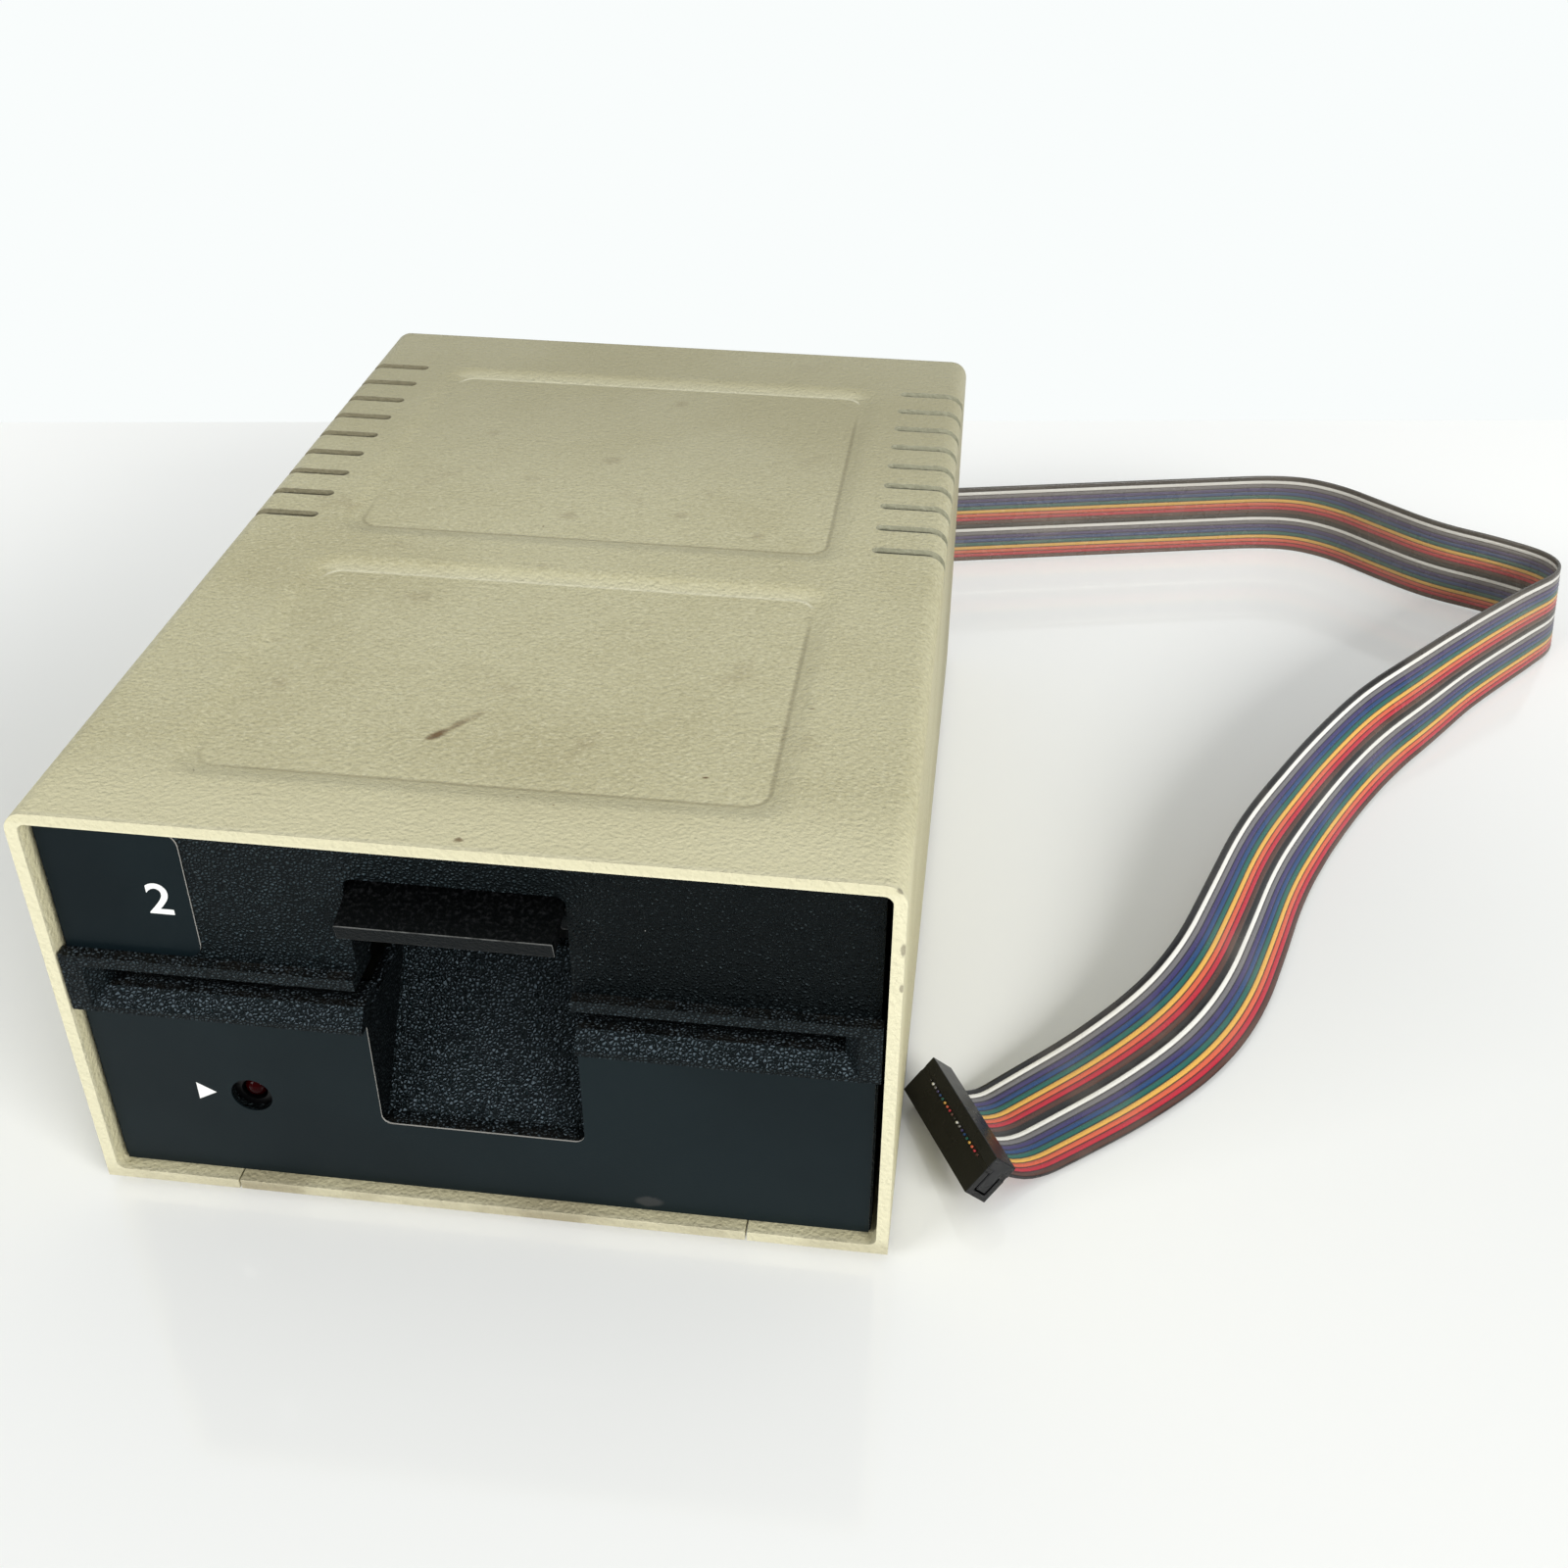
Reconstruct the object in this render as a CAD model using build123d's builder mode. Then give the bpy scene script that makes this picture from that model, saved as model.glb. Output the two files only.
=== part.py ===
"""External floppy disk drive for 5.25 inch disks, with its ribbon cable and plug.

Millimetres, +Z up. The front panel faces -Y and +X is to its right. The origin is in the
middle of the drive's footprint, on the surface that the rubber feet stand on. The door
lever is drawn open, and everything that it lifts is drawn lifted.
"""
from math import cos, pi, radians, sin, tan
import os

from build123d import *

os.makedirs("parts", exist_ok=True)

# ---------------------------------------------------------------- driving dimensions
# Widths, outwards from the disk: slot, rail, chassis wall and case
disk_half_width = 66.7
slot_side_gap = 1.3
rail_wall = 2.3
chassis_wall = 3.0
chassis_side_gap = 3.2
case_wall = 2.3

# Levels, upwards from the case's underside: deck, cam, rods, disk, pivots, board, roof
deck_level = 27.0
deck_thickness = 3.0
cam_above_deck = 4.5
rod_above_cam = 12.0
disk_above_rod = 8.1
load_pivot_above_disk = 5.4
door_pivot_above_disk = 15.5
clamp_pivot_above_disk = 16.9
board_above_clamp_pivot = 7.5
roof_above_board = 10.7

# Depths, backwards from the front lip: spindle, clamp, cam, rods, chassis, case
spindle_depth = 76.0
rod_behind_spindle = 25.0
board_behind_spindle = 24.0
clamp_behind_spindle = 49.0
disk_stop_behind_spindle = 67.0
cam_behind_spindle = 89.0
rod_behind_cam = 40.0
chassis_behind_rods = 6.0
case_behind_chassis = 15.5

# Case, base pan and feet
case_edge_radius = 4.0
case_bottom_radius = 3.4
case_back_radius = 3.0
foot_height = 2.2
foot_radius = 6.5
foot_side_inset = 15.5
foot_end_inset = 17.0
foot_chamfer = 0.5
base_side_inset = 27.0
seam_gap = 0.4
rear_flange = 12.0
pan_lap = 8.0
pan_lap_gap = 1.0
pan_screw_front = 36.0
pan_screw_back = 46.0
pan_screw_tip = 1.0
screw_hole_radius = 1.8
screw_head_radius = 2.9
screw_head_height = 1.4
screw_radius = 1.6

# Pressed panels and vent slots in the top
panel_slope = 4.4
panel_depth = 1.0
panel_corner_radius = 6.5
panel_vent_gap = 6.8
front_panel_start = 15.4
front_panel_length = 82.0
panel_spacing = 11.6
rear_panel_margin = 24.0
vent_count = 9
vent_width = 2.5
vent_behind_panel = 6.5
vent_back_margin = 25.8
vent_reach = 14.5
vent_drop = 8.0

# Front bezel: levels are above the case's underside, depths behind its front lip
bezel_setback = 2.5
bezel_thickness = 3.0
bezel_gap = 1.2
bezel_corner_radius = 1.5
bezel_rim_depth = 12.0
bezel_rim_wall = 3.0
slot_below_disk = 2.5
slot_above_disk = 3.6
band_below_slot = 4.6
band_above_slot = 2.4
band_end_gap = 0.6
flare_drop = 3.3
flare_side = 2.7
throat_depth = 9.5
door_opening_half = 19.6
door_opening_rise = 11.7
recess_floor = 20.0
recess_corner_radius = 2.0
throat_wall = 2.0
bezel_boss_radius = 3.5
ramp_foot_depth = 6.0
ramp_top_depth = 27.0
ramp_below_slot = 2.6
cheek_wall = 2.4
label_thickness = 0.3
label_margin = 0.4
number_label_edge = 48.0
label_corner_radius = 3.0
led_x = -44.8
led_level = 24.0
led_radius = 2.5
led_length = 6.0
led_hole_radius = 4.0
led_setback = 0.9
led_lead_spacing = 2.54
led_lead_radius = 0.3
led_lead_length = 9.0
collar_setback = 1.4
collar_length = 5.0
collar_rim = 1.2

# Door lever
door_pivot_depth = 14.0
door_barrel_radius = 12.5
door_flap_length = 16.9
door_shell = 2.4
door_lip_thickness = 3.5
door_swing = 75.0
door_side_gap = 0.6
door_boss_radius = 4.0
door_pin_radius = 1.5
door_barrel_turn = 70.0
door_web = 3.0
lip_length = 3.0
lip_slope = 1.5

# Chassis and disk rails
chassis_front = 31.0
boss_inset = 9.0
boss_front = 38.0
boss_back = 22.0
boss_radius = 5.0
boss_screw_depth = 12.0
boss_screw_bite = 9.0
tab_width = 9.0
tab_height = 10.0
tab_thickness = 2.5
bezel_screw_inset = 4.5
bezel_screw_depth = 8.0
bezel_screw_above_deck = 8.0
bezel_screw_below_board = 10.0
rail_overlap = 3.2
rail_height = 8.0
rail_below_disk = 3.1
groove_side_gap = 0.6
groove_below_disk = 0.5
groove_above_disk = 2.0
rail_mouth_height = 5.0
rail_mouth_length = 6.0
rail_end_wall = 1.5

# Spindle, belt and drive motor
shaft_radius = 4.0
bearing_radius = 11.0
bearing_width = 7.0
race_width = 1.5
shield_drop = 0.6
bearing_housing_wall = 4.0
bearing_shoulder = 2.0
housing_gap = 0.8
hub_radius = 18.5
hub_height = 9.0
hub_bore_radius = 14.35
hub_bore_depth = 4.6
hub_bore_taper = 2.8
hub_hole_radius = 1.5
hub_hole_ring = 7.0
spindle_pulley_radius = 37.0
pulley_level = 5.0
pulley_height = 7.0
pulley_web_drop = 2.0
pulley_rim = 5.0
pulley_hub_radius = 10.0
pulley_hole_radius = 5.0
pulley_hole_ring = 21.0
belt_thickness = 0.6
belt_width = 5.0
motor_wall_gap = 5.0
motor_radius = 18.0
motor_height = 32.0
motor_shaft_radius = 1.5
motor_pulley_radius = 7.0
motor_boss_radius = 6.0
motor_chamfer = 1.5
motor_bore_depth = 12.0
motor_shaft_rise = 6.0
motor_cap_radius = 5.0

# Head positioner
cam_x = -24.0
cam_radius = 31.0
cam_thickness = 5.0
cam_start_radius = 10.0
cam_turn = 255.0
groove_depth = 3.5
follower_radius = 1.5
head_travel = 18.0
stepper_radius = 28.5
stepper_shaft_radius = 3.0
stepper_shaft_grip = 11.0
cam_hub_radius = 6.6
rod_x = 20.0
rod_radius = 3.0
post_width = 10.0
post_length = 6.0
post_cap = 2.0
track_zero_radius = 57.15
carriage_half_width = 26.5
carriage_wall = 1.5
carriage_overhang = 6.0
follower_overhang = 5.0
follower_grip = 3.0
head_seat_half = 7.0
head_radius = 4.0
head_height = 1.1
load_pivot_back = 19.0
load_lift = 14.0
load_pin_radius = 1.2
ear_inner = 9.5
ear_width = 3.0
ear_half_length = 4.0
ear_cap = 3.0
arm_thickness = 1.6
pad_radius = 3.4
pad_height = 1.6
pad_clearance = 1.3

# Hub clamp
clamp_pin_radius = 2.0
clamp_lift = 12.0
clamp_half_width = 38.0
clamp_sheet = 2.0
clamp_plate_drop = 6.5
nose_depth = 3.1
cone_post_radius = 3.0
plate_half_length = 20.0
tongue_half_width = 12.0
clamp_flange = 3.0
clamp_eye_radius = 5.0
cone_boss_radius = 6.5
cone_collar_radius = 9.0
cone_nose_taper = 3.6
ring_height = 2.0
ring_edge = 1.0
clip_radius = 5.0
clip_height = 0.8
spring_wire = 0.8
spring_height = 3.3

# Write-protect switch
switch_width = 8.0
switch_length = 20.0
switch_height = 8.0
plunger_depth = 42.0
plunger_radius = 1.2
plunger_tip = 0.8
plunger_grip = 3.4
plunger_travel = 1.2

# Circuit boards
board_end_inset = 4.0
board_thickness = 1.6
board_screw_inset = 6.0
board_screw_radius = 0.78
board_screw_bite = 5.0
board_screw_head = 1.8
chip_length = 19.6
chip_width = 6.4
chip_height = 3.4
chip_standoff = 0.6
chip_pins = 7
chip_leg_width = 0.8
chip_leg_height = 1.8
chip_leg_reach = 0.8
chip_leg_bite = 0.2
resistor_radius = 1.2
resistor_length = 7.0
resistor_count = 7
resistor_pitch = 5.0
resistor_row = 12.0
resistor_x = 24.5
resistor_edge_inset = 9.6
adjuster_width = 9.6
adjuster_depth = 5.0
adjuster_height = 6.0
adjuster_row = 50.0
adjuster_x = 12.0
adjuster_pitch = 12.0
adjuster_count = 3
transistor_radius = 2.3
transistor_height = 4.6
transistor_row = 70.0
coil_radius = 3.2
coil_length = 14.0
coil_x = -40.0
coil_row = 72.0
coil_pitch = 9.0
coil_count = 2
board_screw_head_height = 1.2
pin_pitch = 2.54
pin_size = 0.64
header_width = 9.0
header_end = 3.6
header_height = 2.5
inner_plug_width = 6.0
inner_plug_height = 5.6
drop_behind_chassis = 3.5
bend_radius = 4.0
speed_board_inset = 4.5
speed_board_side_gap = 5.0
speed_board_width = 36.0
speed_board_top_gap = 6.0
trimmer_size = 6.0
trimmer_side = 6.0
trimmer_rise = 26.0
speed_resistor_side = 4.0
speed_resistor_rise = 8.0
speed_resistor_pitch = 4.0
speed_resistor_count = 4
speed_chip_side = 16.0
speed_chip_width = 10.0
speed_chip_height = 4.5
speed_chip_rise = 8.0
speed_chip_length = 15.0
speed_can_side = 22.0
speed_can_radius = 3.5
speed_can_height = 7.0
speed_can_rise = 31.0
clamp_bar_depth = 5.0
clamp_bar_height = 1.5
clamp_screw_inset = 2.8
clamp_screw_radius = 0.95

# Clearances
running_fit = 0.05
fixed_fit = 0.02
body_gap = 0.3

# Ribbon cable and plug
ribbon_ways = 20
ribbon_pitch = 1.27
ribbon_thickness = 0.95
outlet_x = 20.0
outlet_level = 6.5
outlet_height = 3.0
outlet_side_gap = 1.0
plug_length = 33.0
plug_height = 9.4
plug_thickness = 5.8
plug_cap_height = 2.7
socket_size = 0.9
socket_depth = 5.0
notch_depth = 1.0
notch_width = 3.2
latch_thickness = 0.7
latch_width = 2.6
latch_foot = 1.6
plug_x = 89.2
plug_y = -80.3
plug_z = 7.05
plug_heading = -65.0
plug_rise = 5.7
plug_roll = 44.0
lead_in_length = 7.0

# ---------------------------------------------------------------- worked-out places
wall_inner = disk_half_width + rail_wall
chassis_half_width = wall_inner + chassis_wall
inner_half = chassis_half_width + chassis_side_gap
case_width = 2 * (inner_half + case_wall)
base_width = case_width - 2 * base_side_inset
vent_inner = case_width / 2 - vent_reach
panel_half_width = vent_inner - panel_vent_gap
slot_half_width = disk_half_width + slot_side_gap
boss_x = base_width / 2 - boss_inset
motor_x = wall_inner - motor_wall_gap - motor_radius

cam_level = deck_level + cam_above_deck
rod_level = cam_level + rod_above_cam
disk_level = rod_level + disk_above_rod
load_pivot_level = disk_level + load_pivot_above_disk
door_pivot_level = disk_level + door_pivot_above_disk
clamp_pivot_level = disk_level + clamp_pivot_above_disk
board_level = clamp_pivot_level + board_above_clamp_pivot
case_height = board_level + roof_above_board + case_wall
slot_low = disk_level - slot_below_disk
slot_high = disk_level + slot_above_disk
band_low = slot_low - band_below_slot
band_high = slot_high + band_above_slot
flare_low = slot_low - flare_drop
ramp_top_level = slot_low - ramp_below_slot
door_opening_top = door_pivot_level + door_opening_rise

rod_front = spindle_depth + rod_behind_spindle
board_start = spindle_depth + board_behind_spindle
clamp_pivot_depth = spindle_depth + clamp_behind_spindle
disk_stop_depth = spindle_depth + disk_stop_behind_spindle
cam_depth = spindle_depth + cam_behind_spindle
rod_back = cam_depth + rod_behind_cam
chassis_back = rod_back + chassis_behind_rods
case_depth = chassis_back + case_behind_chassis
board_length = chassis_back - board_end_inset - board_start
rear_panel_start = front_panel_start + front_panel_length + panel_spacing
rear_panel_length = case_depth - rear_panel_margin - rear_panel_start
vent_first = rear_panel_start + vent_behind_panel
vent_pitch = (case_depth - vent_back_margin - vent_first) / (vent_count - 1)

open_angle = radians(door_swing)
flap_root_depth = door_pivot_depth - door_barrel_radius * cos(open_angle)
lever_reach = door_flap_length * sin(open_angle) - flap_root_depth
front = -(case_depth - lever_reach) / 2
back = front + case_depth
base_z = foot_height
top_z = base_z + case_height
floor_z = base_z + case_wall
roof_z = top_z - case_wall
bezel_y = front + bezel_setback
bezel_back = bezel_y + bezel_thickness
wall_front = bezel_back + bezel_rim_depth
disk_z = base_z + disk_level
spindle_y = front + spindle_depth
deck_z = base_z + deck_level
deck_top = deck_z + deck_thickness
cam_y = front + cam_depth
motor_y = cam_y
cam_z = base_z + cam_level
pulley_z = base_z + pulley_level
rod_z = base_z + rod_level
board_z = base_z + board_level
ribbon_width = ribbon_ways * ribbon_pitch
bezel_screw_x = wall_inner - bezel_screw_inset
bezel_screw_low = deck_z + bezel_screw_above_deck
bezel_screw_high = board_z - bezel_screw_below_board
bezel_screw_levels = (bezel_screw_low, bezel_screw_high)


def front_plane(y):
    """Plane facing the viewer: local x is X and local y is Z."""
    return Plane.XZ.offset(-y)


def side_plane(x):
    """Plane facing right: local x is Y and local y is Z."""
    return Plane.YZ.offset(x)


def level_plane(z):
    """Level plane: local x is X and local y is Y."""
    return Plane.XY.offset(z)


def block(x_span, y_span, z_span, mode=Mode.ADD):
    """Box between three pairs of coordinates, in the current part."""
    sizes = [span[1] - span[0] for span in (x_span, y_span, z_span)]
    middle = [(span[0] + span[1]) / 2 for span in (x_span, y_span, z_span)]
    with Locations(tuple(middle)):
        Box(*sizes, mode=mode)


def both_sides(low, high):
    """The same span of X on the left and on the right."""
    return ((-high, -low), (low, high))


def upright(x, y, z, radius, height, mode=Mode.ADD):
    """Vertical cylinder that starts at the given point, in the current part."""
    with Locations((x, y, z + height / 2)):
        Cylinder(radius, height, mode=mode)


def crossbar(x_span, y, z, radius, mode=Mode.ADD):
    """Cylinder along X, in the current part."""
    middle = (x_span[0] + x_span[1]) / 2
    with Locations(Location((middle, y, z), (0, 90, 0))):
        Cylinder(radius, x_span[1] - x_span[0], mode=mode)


def forward_bar(x, y_span, z, radius, mode=Mode.ADD):
    """Cylinder along Y, in the current part."""
    middle = (y_span[0] + y_span[1]) / 2
    with Locations(Location((x, middle, z), (90, 0, 0))):
        Cylinder(radius, y_span[1] - y_span[0], mode=mode)


def keep(builder, label):
    """Name a finished piece and write its STEP file."""
    builder.part.label = label
    export_step(builder.part, f"parts/{label}.step")


# ---------------------------------------------------------------- case
pan_screw_x = base_width / 2 + seam_gap + pan_lap / 2
pan_screw_rows = (front + pan_screw_front, back - pan_screw_back)
foot_x = case_width / 2 - foot_side_inset
foot_rows = (front + foot_end_inset, back - foot_end_inset)
outlet_z = base_z + outlet_level
pan_back = back - rear_flange - seam_gap

with BuildPart() as outer_case:
    with BuildSketch(front_plane(front)):
        with Locations((0, base_z + case_height / 2)):
            outline = Rectangle(case_width, case_height)
        fillet(outline.vertices().group_by(Axis.Y)[-1], case_edge_radius)
        fillet(outline.vertices().group_by(Axis.Y)[0], case_bottom_radius)
    extrude(amount=-case_depth)
    fillet(outer_case.faces().sort_by(Axis.Y)[-1].edges(), case_back_radius)
    with BuildSketch(front_plane(front)):
        with Locations((0, base_z + case_height / 2)):
            RectangleRounded(
                2 * inner_half, case_height - 2 * case_wall, case_edge_radius - case_wall
            )
    extrude(amount=-(case_depth - case_wall), mode=Mode.SUBTRACT)
    # Opening under the case that the base pan closes
    block(
        (-base_width / 2, base_width / 2),
        (front, back - rear_flange),
        (base_z, floor_z),
        Mode.SUBTRACT,
    )
    # Two pressed panels with sloping edges
    for start, length in (
        (front_panel_start, front_panel_length),
        (rear_panel_start, rear_panel_length),
    ):
        middle_y = front + start + length / 2
        with BuildSketch(level_plane(top_z)):
            with Locations((0, middle_y)):
                RectangleRounded(2 * panel_half_width, length, panel_corner_radius)
        with BuildSketch(level_plane(top_z - panel_depth)):
            with Locations((0, middle_y)):
                RectangleRounded(
                    2 * (panel_half_width - panel_slope),
                    length - 2 * panel_slope,
                    panel_corner_radius - panel_slope / 2,
                )
        loft(mode=Mode.SUBTRACT)
    # Vent slots that run over both top edges
    vent_length = case_width / 2 - vent_inner
    for side in (-1, 1):
        with BuildSketch(level_plane(top_z)):
            for number in range(vent_count):
                vent_y = front + vent_first + number * vent_pitch
                with Locations((side * (vent_inner + vent_length / 2), vent_y)):
                    Rectangle(vent_length, vent_width)
                with Locations((side * vent_inner, vent_y)):
                    Circle(vent_width / 2)
        extrude(amount=-vent_drop, mode=Mode.SUBTRACT)
    # Screw holes for the base pan, and the cable's outlet
    for side in (-1, 1):
        for row in pan_screw_rows:
            upright(side * pan_screw_x, row, base_z, screw_hole_radius, case_wall, Mode.SUBTRACT)
    block(
        (outlet_x - ribbon_width / 2 - outlet_side_gap, outlet_x + ribbon_width / 2 + outlet_side_gap),
        (back - case_wall, back),
        (outlet_z - outlet_height / 2, outlet_z + outlet_height / 2),
        Mode.SUBTRACT,
    )
keep(outer_case, "outer_case")

# Base pan: a sheet with its long edges joggled up to lap the case's flanges
boss_places = [(x, y) for x in (-boss_x, boss_x) for y in (front + boss_front, back - boss_back)]
pan_edge = base_width / 2 - seam_gap
with BuildPart() as base_pan:
    with BuildSketch(front_plane(front)):
        with BuildLine():
            Polyline(
                (0, base_z),
                (pan_edge, base_z),
                (pan_edge, floor_z),
                (pan_edge + seam_gap + pan_lap, floor_z),
                (pan_edge + seam_gap + pan_lap, floor_z + case_wall),
                (pan_edge - case_wall, floor_z + case_wall),
                (pan_edge - case_wall, floor_z),
                (0, floor_z),
                close=True,
            )
        make_face()
        mirror(about=Plane.YZ)
    extrude(amount=-(pan_back - front))
    # The laps stop short of the bezel's rim
    for span in both_sides(pan_edge - case_wall, pan_edge + seam_gap + pan_lap):
        lap_front = (front, wall_front + pan_lap_gap)
        block(span, lap_front, (floor_z, floor_z + case_wall), Mode.SUBTRACT)
    for side in (-1, 1):
        for row in pan_screw_rows:
            upright(side * pan_screw_x, row, floor_z, screw_radius + fixed_fit, case_wall, Mode.SUBTRACT)
    for x, y in boss_places:
        upright(x, y, base_z, screw_hole_radius, case_wall, Mode.SUBTRACT)
keep(base_pan, "base_pan")

with BuildPart() as rubber_feet:
    for side in (-1, 1):
        for row in foot_rows:
            upright(side * foot_x, row, 0, foot_radius, foot_height)
    chamfer(rubber_feet.faces().group_by(Axis.Z)[0].edges(), foot_chamfer)
keep(rubber_feet, "rubber_feet")


def pan_head_screw(x, y, seat_z, length):
    """Pan-head screw from below: its head hangs under seat_z and its shank points up."""
    upright(x, y, seat_z - screw_head_height, screw_head_radius, screw_head_height)
    upright(x, y, seat_z, screw_radius, length)


with BuildPart() as pan_screws:
    for side in (-1, 1):
        for row in pan_screw_rows:
            pan_head_screw(side * pan_screw_x, row, base_z, 2 * case_wall + pan_screw_tip)
keep(pan_screws, "pan_screws")

with BuildPart() as chassis_screws:
    for x, y in boss_places:
        pan_head_screw(x, y, base_z, case_wall + boss_screw_bite)
keep(chassis_screws, "chassis_screws")

# ---------------------------------------------------------------- front bezel
bezel_low = floor_z + bezel_gap / 2
bezel_high = roof_z - bezel_gap / 2
bezel_half = inner_half - bezel_gap
band_half = inner_half - band_end_gap
pivot_y = front + door_pivot_depth
pivot_z = base_z + door_pivot_level
recess_back = front + ramp_top_depth
opening_top = base_z + door_opening_top
ramp_top = base_z + ramp_top_level
recess_low = base_z + recess_floor
cheek_low = base_z + band_high
upper_cheek_top = opening_top + cheek_wall
slot_floor = base_z + slot_low
slot_roof = base_z + slot_high

with BuildPart() as front_bezel:
    bezel_middle = (bezel_low + bezel_high) / 2
    with BuildSketch(front_plane(bezel_y)):
        with Locations((0, bezel_middle)):
            RectangleRounded(2 * bezel_half, bezel_high - bezel_low, bezel_corner_radius)
    extrude(amount=-(bezel_thickness + bezel_rim_depth))
    with BuildSketch(front_plane(bezel_back)):
        with Locations((0, bezel_middle)):
            Rectangle(
                2 * (bezel_half - bezel_rim_wall), bezel_high - bezel_low - 2 * bezel_rim_wall
            )
    extrude(amount=-bezel_rim_depth, mode=Mode.SUBTRACT)
    # Raised band round the disk slot, and the throat behind it
    block((-band_half, band_half), (front, bezel_y), (base_z + band_low, base_z + band_high))
    block(
        (-(bezel_half - bezel_rim_wall), bezel_half - bezel_rim_wall),
        (bezel_back, front + throat_depth),
        (slot_floor - throat_wall, slot_roof + throat_wall),
    )
    # Finger recess and lever cheeks, solid at first
    outer_half = door_opening_half + cheek_wall
    with BuildSketch(side_plane(-outer_half)):
        with BuildLine():
            Polyline(
                (bezel_back, recess_low - cheek_wall),
                (front + ramp_foot_depth + cheek_wall, recess_low - cheek_wall),
                (recess_back + cheek_wall, ramp_top),
                (bezel_back, ramp_top),
                close=True,
            )
        make_face()
    extrude(amount=2 * outer_half)
    for span in both_sides(door_opening_half, outer_half):
        block(span, (bezel_back, recess_back), (cheek_low, upper_cheek_top))
    # Space of the recess, with its back face sloping away upwards
    with BuildSketch(side_plane(-door_opening_half)):
        with BuildLine():
            Polyline(
                (bezel_y, recess_low),
                (front + ramp_foot_depth, recess_low),
                (recess_back, ramp_top),
                (bezel_y, ramp_top),
                close=True,
            )
        make_face()
    extrude(amount=2 * door_opening_half, mode=Mode.SUBTRACT)
    with BuildSketch(front_plane(front)):
        with Locations((0, (recess_low + opening_top) / 2)):
            RectangleRounded(
                2 * door_opening_half, opening_top - recess_low, recess_corner_radius
            )
    extrude(amount=-(bezel_back - front), mode=Mode.SUBTRACT)
    block(
        (-door_opening_half, door_opening_half),
        (bezel_back, front + throat_depth),
        (ramp_top, opening_top),
        Mode.SUBTRACT,
    )
    # Disk slot with a flared mouth
    with BuildSketch(front_plane(front)):
        with Locations((0, (base_z + flare_low + slot_roof) / 2)):
            Rectangle(2 * (slot_half_width + flare_side), slot_roof - base_z - flare_low)
    with BuildSketch(front_plane(bezel_y)):
        with Locations((0, (slot_floor + slot_roof) / 2)):
            Rectangle(2 * slot_half_width, slot_roof - slot_floor)
    loft(mode=Mode.SUBTRACT)
    block(
        (-slot_half_width, slot_half_width),
        (bezel_y, front + throat_depth),
        (slot_floor, slot_roof),
        Mode.SUBTRACT,
    )
    # Bosses that take the bezel's screws
    for x in (-bezel_screw_x, bezel_screw_x):
        for z in bezel_screw_levels:
            forward_bar(x, (bezel_back, wall_front), z, bezel_boss_radius)
            screw_span = (wall_front - bezel_screw_depth - body_gap, wall_front)
            forward_bar(x, screw_span, z, screw_radius + fixed_fit, Mode.SUBTRACT)
    # Lamp hole and the bores of the lever's pin
    forward_bar(led_x, (bezel_y, bezel_back), base_z + led_level, led_hole_radius, Mode.SUBTRACT)
    crossbar((-outer_half, outer_half), pivot_y, pivot_z, door_pin_radius + fixed_fit, Mode.SUBTRACT)
keep(front_bezel, "front_bezel")

label_y = bezel_y - label_thickness
label_edge = bezel_half - label_margin
with BuildPart() as number_label:
    label_low = base_z + band_high + label_margin
    label_high = bezel_high - label_margin
    with BuildSketch(front_plane(label_y)):
        with Locations((-(label_edge + number_label_edge) / 2, (label_low + label_high) / 2)):
            sheet = Rectangle(label_edge - number_label_edge, label_high - label_low)
        fillet(sheet.vertices().group_by(Axis.X)[-1], label_corner_radius)
    extrude(amount=-label_thickness)
keep(number_label, "number_label")

with BuildPart() as lower_label:
    label_low = bezel_low + label_margin
    label_high = base_z + band_low - label_margin / 2
    with BuildSketch(front_plane(label_y)):
        with Locations((0, (label_low + label_high) / 2)):
            Rectangle(2 * label_edge, label_high - label_low)
        with Locations((0, (recess_low + opening_top) / 2)):
            RectangleRounded(
                2 * door_opening_half,
                opening_top - recess_low,
                recess_corner_radius,
                mode=Mode.SUBTRACT,
            )
        with Locations((led_x, base_z + led_level)):
            Circle(led_hole_radius, mode=Mode.SUBTRACT)
    extrude(amount=-label_thickness)
keep(lower_label, "lower_label")

# Activity lamp: a domed red LED in a black collar
led_z = base_z + led_level
dome_y = bezel_y + led_setback + led_radius
collar_span = (bezel_y + collar_setback, bezel_back + collar_length)
with BuildPart() as led_collar:
    forward_bar(led_x, collar_span, led_z, led_hole_radius - fixed_fit)
    rim_span = (bezel_back, bezel_back + collar_setback)
    forward_bar(led_x, rim_span, led_z, led_hole_radius + collar_rim)
    forward_bar(led_x, collar_span, led_z, led_radius + running_fit, Mode.SUBTRACT)
keep(led_collar, "led_collar")

with BuildPart() as activity_led:
    with Locations((led_x, dome_y, led_z)):
        Sphere(led_radius)
    forward_bar(led_x, (dome_y, dome_y + led_length), led_z, led_radius)
    lead_span = (dome_y + led_length, dome_y + led_length + led_lead_length)
    for lead_x in (led_x - led_lead_spacing / 2, led_x + led_lead_spacing / 2):
        forward_bar(lead_x, lead_span, led_z, led_lead_radius)
keep(activity_led, "activity_led")

# ---------------------------------------------------------------- door lever
# The lever turns about the pivot (0, 0) of this side view; it is drawn swung open
face_angle = pi - open_angle
face_normal = (-cos(open_angle), sin(open_angle))
flap_heading = (-sin(open_angle), -cos(open_angle))


def door_point(along, proud):
    """Point of the side view: along the flap from its root, proud of the pivot."""
    return (
        pivot_y + face_normal[0] * proud + flap_heading[0] * along,
        pivot_z + face_normal[1] * proud + flap_heading[1] * along,
    )


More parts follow.
